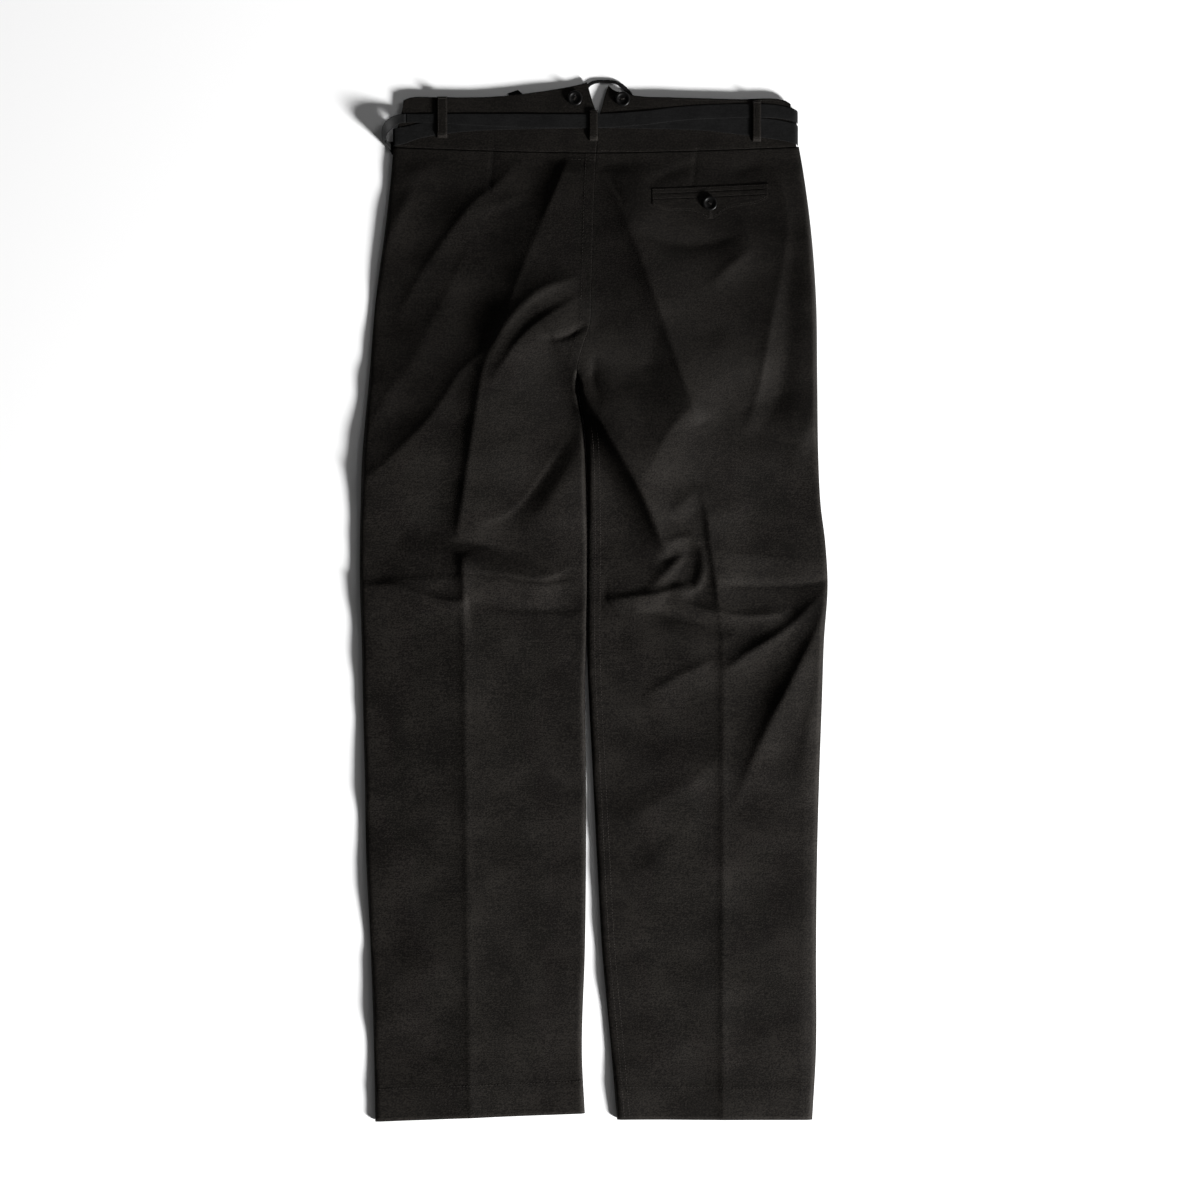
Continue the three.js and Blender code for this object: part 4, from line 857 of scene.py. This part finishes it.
# Tape sash: each row is a place on its middle line, its width and, where it doesn't lie flat, the way across it.
flatAcross = (0, 1, 0)
tiltedAcross = (0, 1, -0.03)
tapeWidth = 14.8
tapes = {
    "sash_upper": [(-199, 510.4, 5.7, 9), (-188, 510.3, 5.8, 9), (-176, 510.2, 6, 9.4), (-130, 509, 6, 12),
        (-90, 508, 6, 14), (-4, 507.4, 6, tapeWidth), (49, 510.2, 6, tapeWidth),
        (82, 514.2, 5.9, tapeWidth, tiltedAcross), (113, 516.8, 5.8, tapeWidth, tiltedAcross),
        (155, 518.2, 5.8, tapeWidth, tiltedAcross), (188, 517.8, 5.8, 14.2, tiltedAcross),
        (203, 515.8, 5.8, 13.6, tiltedAcross), (212.4, 513.4, 5.6, 13), (215.6, 511.6, 3.8, 12.7),
        (215.9, 511, 0.9, 12.7)],
    "sash_lower": [(-212.4, 490, 2.8, 18.5), (-211.8, 490.1, 5.2, 18.5), (-207, 491, 5.7, 18.3),
        (-198, 493, 5.5, 17.5), (-184, 497, 5.5, 16), (-158, 501, 5.5, tapeWidth), (-110, 505.2, 5.5, tapeWidth),
        (-4, 507.3, 5.5, tapeWidth), (49, 506.8, 5.5, tapeWidth), (113, 505.5, 5.5, 16), (155, 502.4, 5.5, 19),
        (188, 499, 5.5, 21), (205, 496, 5.8, 21), (213.4, 493.6, 5.8, 21), (215.9, 492, 3.4, 21),
        (216.1, 491.4, 0.9, 21)],
    "sash_left_loop": [(-199.1, 510.4, 5.7, 9), (-206, 509.4, 6.6, 9.4, (-0.15, 1, 0.1)),
        (-212.6, 506.2, 7.8, 10.6, (-0.4, 0.8, 0.4)), (-218, 501.2, 8.4, 12.6, (-0.5, 0.4, 0.75)),
        (-221.2, 495, 8.3, 14, (-0.34, 0.12, 0.92)), (-221.6, 488, 8, 14, (-0.25, -0.05, 0.96)),
        (-219.6, 482, 7.4, 12.6, (-0.3, 0.3, 0.9)), (-216.4, 479.4, 3.8, 12.6, (-0.3, 0.85, 0.4)),
        (-213.4, 479.2, 1.2, 14), (-208.4, 479.2, 0.67, tapeWidth), (-203, 479.2, 0.5, tapeWidth)],
    "sash_front_upper": [(-198, 500, 0.5, tapeWidth), (-100, 494.6, 0.5, tapeWidth), (0, 491, 0.5, tapeWidth),
        (100, 499, 0.5, tapeWidth), (205, 510.5, 0.5, tapeWidth), (214.9, 511, 0.5, tapeWidth)],
    "sash_front_lower": [(-202.6, 479.2, 0.5, tapeWidth), (-100, 476, 0.5, tapeWidth), (0, 474.4, 0.5, tapeWidth),
        (100, 482, 0.5, tapeWidth), (205, 491, 0.5, tapeWidth), (215.1, 491.4, 0.5, tapeWidth)],
    "sash_bow_loop": [(-4, 500.4, 0.65, 4, (1, 0, 0)), (-9, 515, 0.8, 4, (1, 0.2, 0)),
        (-11, 532, 0.8, 4, (1, 0, 0)), (-7.5, 543.5, 0.9, 4, (0.8, -0.6, 0)), (0, 549, 1, 3.6, (0.4, -0.9, 0)),
        (12, 550, 1, 3.4, (0, -1, 0)), (24, 548.6, 1, 3.6, (-0.5, -0.9, 0)), (33.5, 542, 0.9, 4.4, (-0.8, -0.6, 0)),
        (39.5, 532, 0.8, 4.6, (-1, -0.3, 0)), (33, 516, 0.8, 4, (-0.9, 0.4, 0)),
        (19, 500.7, 0.65, 4, (-1, 0.1, 0))],
    "sash_end": [(-46, 500.3, 0.5, 13, (1, 0.04, 0)), (-55, 511, 0.5, 12.8, (0.85, 0.5, 0)),
        (-68, 522, 0.5, 12.5, (0.75, 0.66, 0)), (-86, 539.2, 0.5, 12, (0.9, 0.3, 0))],
}
tapeThick = {"sash_bow_loop": 1.2, "sash_left_loop": 0.55, "sash_end": 0.55, "others": 0.4}
tapeSteps = {"apart": 1.5, "fewest": 12, "across": 2.0, "rounding": 0.3}


def tapePiece(name, rows, thick):
    table = np.array([(x, y, z, width, *(across[0] if across else flatAcross)) for x, y, z, width, *across in rows])
    length = lengthOf(table[:, :3])
    route = curveThrough(table, max(tapeSteps["fewest"], int(length / tapeSteps["apart"])))
    place, width = route[:, :3], route[:, 3]
    across = route[:, 4:] / np.linalg.norm(route[:, 4:], axis=1)[:, None]
    along = np.gradient(place, axis=0)
    facing = np.cross(along, across)
    facing /= np.linalg.norm(facing, axis=1)[:, None]
    shares, drop = edgeSpaced(float(width.mean()), tapeSteps["across"])
    offset = (shares - 0.5)[None, :, None] * width[:, None, None] * across[:, None, :]
    centre = place[:, None, :] + offset
    half = (thick / 2 - drop * thick * tapeSteps["rounding"])[None, :, None] * facing[:, None, :]
    piece = wallObject(name + "_cloth", centre + half, centre - half, tapeCloth)
    return piece, length, float(width.mean())


for name, rows in tapes.items():
    piece, length, width = tapePiece(name, rows, tapeThick.get(name, tapeThick["others"]))
    settle(piece, [name])
print("sash ready")

# Belt loops
beltLoops = {
    "belt_loop_left": {"x": -160.4, "width": 10.6, "top": 533.2, "foot": 489.2},
    "belt_loop_centre": {"x": -0.3, "width": 8.8, "top": 519, "foot": 486.2},
    "belt_loop_right": {"x": 172.4, "width": 8.8, "top": 528.6, "foot": 485.4},
}
loopShape = {"rise": 1.7, "thick": 0.9, "topBend": 2.8, "footBend": 5.0, "crown": 0.15, "lie": 0.3, "step": 1.0,
             "rounding": 0.35}


def loopPlace(loop):
    def place(u, v):
        x = loop["x"] + (u - 0.5) * loop["width"]
        y = mix(loop["foot"], loop["top"], v)
        rise = loopShape["rise"] * smooth(loop["foot"], loop["foot"] + loopShape["footBend"], y) * (
            1 - smooth(loop["top"] - loopShape["topBend"], loop["top"], y))
        crown = loopShape["crown"] * (1 - (2 * u - 1) ** 2)
        return x, y, band["top"] + loopShape["lie"] + loopShape["thick"] + rise + crown
    return place


for name, loop in beltLoops.items():
    piece = flatPiece(name + "_cloth", loopPlace(loop), (loop["width"], loop["top"] - loop["foot"]),
                      loopShape["step"], loopShape["thick"], canvas, loopShape["rounding"])
    settle(piece, [name])
print("belt loops ready")

# Back pocket
pocket = {"left": 61.5, "right": 184.5, "mouth": 432.6, "slope": 0.045, "welt": 5.6, "thick": 0.38, "lie": 0.12,
          "gap": 0.3, "step": 1.2, "rounding": 0.35}
flapEdge = tableOf("x drop", (61.5, 11), (68, 15.5), (107, 20.5), (124, 29), (141, 19), (178, 12.5), (184.5, 8))


def pocketLine(x):
    return pocket["mouth"] + pocket["slope"] * (x - (pocket["left"] + pocket["right"]) / 2)


def pocketTop(x, y):
    return backTop(x, y) + pocket["lie"] + pocket["thick"]


def onPocket(start, drop):
    def place(u, v):
        x = mix(pocket["left"], pocket["right"], u)
        y = start(x) - v * drop(x)
        return x, y, pocketTop(x, y)
    return place


def weltDepth(x):
    return np.full_like(x, pocket["welt"])


pocketParts = {
    "pocket_welt_upper": (onPocket(lambda x: pocketLine(x) + pocket["welt"], weltDepth), pocket["welt"]),
    "pocket_welt_lower": (onPocket(lambda x: pocketLine(x) - pocket["gap"], weltDepth), pocket["welt"]),
    "pocket_flap": (onPocket(lambda x: pocketLine(x) - pocket["welt"] - 2 * pocket["gap"],
                             lambda x: column(flapEdge, "drop", x, "x") - pocket["welt"]), 18),
}
for name, (place, depth) in pocketParts.items():
    piece = flatPiece(name + "_cloth", place, (pocket["right"] - pocket["left"], depth), pocket["step"],
                      pocket["thick"], canvas, pocket["rounding"])
    if name == "pocket_flap":
        settle(piece, [name])
    else:
        settle(piece, [name])
print("pocket ready")

# Sewing
sewing = {"waistAbove": 2.1, "seatBeside": 10.6, "inseamInside": (8.0, 13.5), "flapInside": 1.7,
          "bandEdge": 2.2, "loopInside": 1.5, "buttonhole": (412.5, 404.4)}


def seamRun(offset, top, bottom, count=40):
    return [(float(column(middle, "x", y)) + offset, y) for y in np.linspace(top, bottom, count)]


def waistRow(x0, x1):
    return [(x, float(waistSeam(x)) + sewing["waistAbove"]) for x in np.linspace(x0, x1, 40)]


def hemRow(x0, x1):
    return [(x, float(hemLine(x)) + seamWork["hemDepth"] - 1.6) for x in np.linspace(x0, x1, 20)]


def inseamRow(inside):
    rows = []
    for y in np.linspace(188, -546, 60):
        edge = float(column(middle, "x", y)) + max(panelGrid["leastGap"], float(column(middle, "gap", y))) / 2
        rows.append((edge + inside, y))
    return rows


stitchRows("stitches_waist", [runOn(bandHeight, waistRow(-206, 1)), runOn(bandHeight, waistRow(5, 211))], seamThread)
stitchRows("stitches_seat", [runOn(backTop, seamRun(-sewing["seatBeside"], 471, 268)),
                             runOn(backTop, [(-23, 467), (-12, 466.6), (0, 466.4)])], seamThread, length=2.2)
stitchRows("stitches_hems", [runOn(backTop, hemRow(-226, -12)), runOn(backTop, hemRow(28, 226))], seamThread)
stitchRows("stitches_inseam", [runOn(backTop, inseamRow(inside)) for inside in sewing["inseamInside"]], paleThread,
           pitch=3.0, length=2.0)
# The dart stitches carry the painted shade of the dart's crease.
stitchRows("stitches_darts", [runOn(backTop, [dart["top"], dart["end"]]) for dart in darts], paintedShadeThread,
           pitch=1.6, length=1.7, thickness=0.5)


def pocketRow(below, inside=1.5):
    xs = np.linspace(pocket["left"] + inside, pocket["right"] - inside, 30)
    return [(x, float(pocketLine(x)) - below) for x in xs]


flapRow = [(x, float(pocketLine(x)) - float(column(flapEdge, "drop", x, "x")) + sewing["flapInside"])
           for x in np.linspace(pocket["left"] + 2, pocket["right"] - 2, 80)]
stitchRows("stitches_pocket", [runOn(pocketTop, pocketRow(-pocket["welt"] + 1.3)),
                               runOn(pocketTop, flapRow)], seamThread, pitch=2.6, length=1.7, thickness=0.3)
flapPoint = min(flapRow, key=lambda place: place[1])
stitchRows("stitches_buttonhole", [runOn(pocketTop, [(flapPoint[0] + aside, y) for y in sewing["buttonhole"]])
                                   for aside in (-0.9, 0.9)], paleThread, pitch=0.7, length=0.9, thickness=0.6)
bandRow = [(x, float(column(bandTops["right"], "y", x, "x")) - sewing["bandEdge"]) for x in np.linspace(84, 198, 30)]
stitchRows("stitches_band", [runOn(bandHeight, bandRow)], seamThread, pitch=2.6, length=1.8, thickness=0.4)


def loopRun(loop, across, along):
    x, y, z = loopPlace(loop)(across, along)
    return np.stack([x, y, z + stitchSizes["lie"]], 1).tolist()


def loopRuns(loop):
    inside = 0.5 - sewing["loopInside"] / loop["width"]
    return [loopRun(loop, np.full(24, 0.5 + side * inside), np.linspace(0.06, 0.94, 24)) for side in (-1, 1)]


# A bartack: close threads across the loop, on two lines.
def tackRuns(loop, share):
    return [loopRun(loop, np.linspace(0.14, 0.86, 10), np.full(10, share + shift)) for shift in (-0.012, 0.012)]


stitchRows("stitches_loops", [run for loop in beltLoops.values() for run in loopRuns(loop)], seamThread,
           pitch=2.8, length=1.9, thickness=0.4)
stitchRows("stitches_tacks", [run for loop in beltLoops.values() for share in (0.04, 0.96)
                              for run in tackRuns(loop, share)], paleThread, pitch=0.55, length=1.1, thickness=0.5)
print("sewing ready")

# Buttons: turned discs with a raised rim, a dished face and two holes, sewn on with dark thread
buttons = {
    "button_brace_left": {"x": -19.9, "y": 531.4, "turn": 60},
    "button_brace_right": {"x": 30.5, "y": 530.6, "turn": 5},
    "button_pocket": {"x": 122.7, "y": 419.8, "turn": -40},
}
buttonSizes = {"around": 80, "scale": 0.93, "tall": 0.74, "fine": 0.18, "gap": 0.2, "pocketGap": 0.1,
               "holeRadius": 1.15, "holeEdge": (0.3, 0.1), "holeApart": 4.6, "holeDeep": 0.95}
buttonThread = {"shift": 0.35, "low": 0.85, "arch": 0.6}
buttonProfile = tableOf("r z", (0, 1.75), (2.5, 1.75), (4.2, 1.95), (5.2, 2.45), (6.1, 3.1), (6.9, 3.3), (7.7, 3.1),
    (8.3, 2.5), (8.5, 1.7), (8.2, 0.8), (7.4, 0.25), (6.2, 0), (3, 0), (0, 0))


def buttonMesh(name, x, y, base, turn):
    outline = [(row["r"] * buttonSizes["scale"], row["z"] * buttonSizes["tall"]) for row in buttonProfile]
    route = curveThrough(outline, int(lengthOf(outline) / buttonSizes["fine"]))
    radius, height = np.maximum(route[:, 0], 0), route[:, 1]
    angle = np.linspace(0, 2 * np.pi, buttonSizes["around"], endpoint=False)
    px, py = radius[:, None] * np.cos(angle), radius[:, None] * np.sin(angle)
    away = np.minimum(*[np.hypot(px - side * buttonSizes["holeApart"] / 2, py) for side in (-1, 1)])
    within, beyond = buttonSizes["holeEdge"]
    hole = 1 - smooth(buttonSizes["holeRadius"] - within, buttonSizes["holeRadius"] + beyond, away)
    upper = (np.arange(len(radius)) < np.argmax(radius))[:, None]
    pz = height[:, None] - buttonSizes["holeDeep"] * hole * upper
    points = np.stack([x + px * np.cos(turn) - py * np.sin(turn), y + px * np.sin(turn) + py * np.cos(turn),
                       base + pz], -1)
    rings, around = len(radius), buttonSizes["around"]
    body = points[1:-1].reshape(-1, 3).tolist()
    top, bottom = len(body), len(body) + 1
    faces = []
    for ring in range(rings - 3):
        for k in range(around):
            a, b = ring * around + k, ring * around + (k + 1) % around
            faces.append((a, a + around, b + around, b))
    last = (rings - 3) * around
    for k in range(around):
        following = (k + 1) % around
        faces.append((top, k, following))
        faces.append((bottom, last + following, last + k))
    return makeObject(name, body + [points[0, 0].tolist(), points[-1, 0].tolist()], faces, buttonGloss)


# The height a button stands at: over the cloth all round under it, or over the band above and below it.
def buttonBase(name, spec):
    x, y = spec["x"], spec["y"]
    if name == "button_pocket":
        ring = np.linspace(0, 2 * np.pi, 12)
        under = pocketTop(x + 6 * np.cos(ring), y + 6 * np.sin(ring)).max()
        return float(under) + buttonSizes["pocketGap"]
    return float(max(bandHeight(x, y + 8), bandHeight(x, y - 8))) + buttonSizes["gap"]


threadRuns = []
for name, spec in buttons.items():
    base, turn = buttonBase(name, spec), np.radians(spec["turn"])
    piece = buttonMesh(name + "_gloss", spec["x"], spec["y"], base, turn)
    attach(piece, "root")
    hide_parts(name)
    half = buttonSizes["holeApart"] / 2
    for shift in (-buttonThread["shift"], buttonThread["shift"]):
        along = np.linspace(-half, half, 12)
        arch = buttonThread["low"] + buttonThread["arch"] * np.sqrt(np.maximum(0, 1 - (along / half) ** 2))
        threadRuns.append([(spec["x"] + a * np.cos(turn) - shift * np.sin(turn),
                            spec["y"] + a * np.sin(turn) + shift * np.cos(turn), base + z)
                           for a, z in zip(along, arch)])
stitchRows("thread_buttons", threadRuns, seamThread, pitch=0.5, length=1.1, thickness=0.5)
print("buttons ready")

# Floor, lights and camera
stage = {"floorSize": 30.0, "floorDrop": 0.4, "floorColor": (0.93, 0.93, 0.93), "floorRoughness": 0.9,
         "floorSpecular": 0.1, "world": 0.06}


def makeFloor():
    half = stage["floorSize"] / 2 / mm
    z = -stage["floorDrop"]
    material, tree, shader = newMaterial("paleFloor")
    setSockets(tree, shader, {"Base Color": (*stage["floorColor"], 1), "Roughness": stage["floorRoughness"],
                              "Specular IOR Level": stage["floorSpecular"]})
    floor = makeObject("floor", [(-half, -half, z), (half, -half, z), (half, half, z), (-half, half, z)],
                       [(0, 1, 2, 3)], material)


lamps = {
    "keyRight": {"place": (5.0, -3.85, 2.1), "size": 1.4, "power": 1740},
    "fillUpper": {"place": (1.6, 1.6, 1.6), "size": 1.2, "power": 8},
}


def makeLamp(name, lamp):
    light = bpy.data.lights.new(name, "AREA")
    light.shape = "DISK"
    light.size = lamp["size"]
    light.energy = lamp["power"]
    holder = addObject(name, light)
    holder.location = lamp["place"]
    holder.rotation_euler = (-holder.location).to_track_quat("-Z", "Y").to_euler()


shot = {"centre": (0.0066, 0.0005), "height": 3.2, "across": 1.272, "sensor": 36.0}


def makeCamera():
    data = bpy.data.cameras.new("overhead")
    data.sensor_width = shot["sensor"]
    data.lens = shot["sensor"] * shot["height"] / shot["across"]
    camera = addObject("overhead", data)
    camera.location = (*shot["centre"], shot["height"])
    bpy.context.scene.camera = camera


makeFloor()
for name, lamp in lamps.items():
    makeLamp(name, lamp)
makeCamera()
world = bpy.data.worlds.new("softRoom")
world.use_nodes = True
setSockets(world.node_tree, world.node_tree.nodes["Background"].inputs,
           {"Color": (1, 1, 1, 1), "Strength": stage["world"]})
bpy.context.scene.world = world
bpy.context.scene.view_settings.view_transform = "Standard"

print("scene ready")
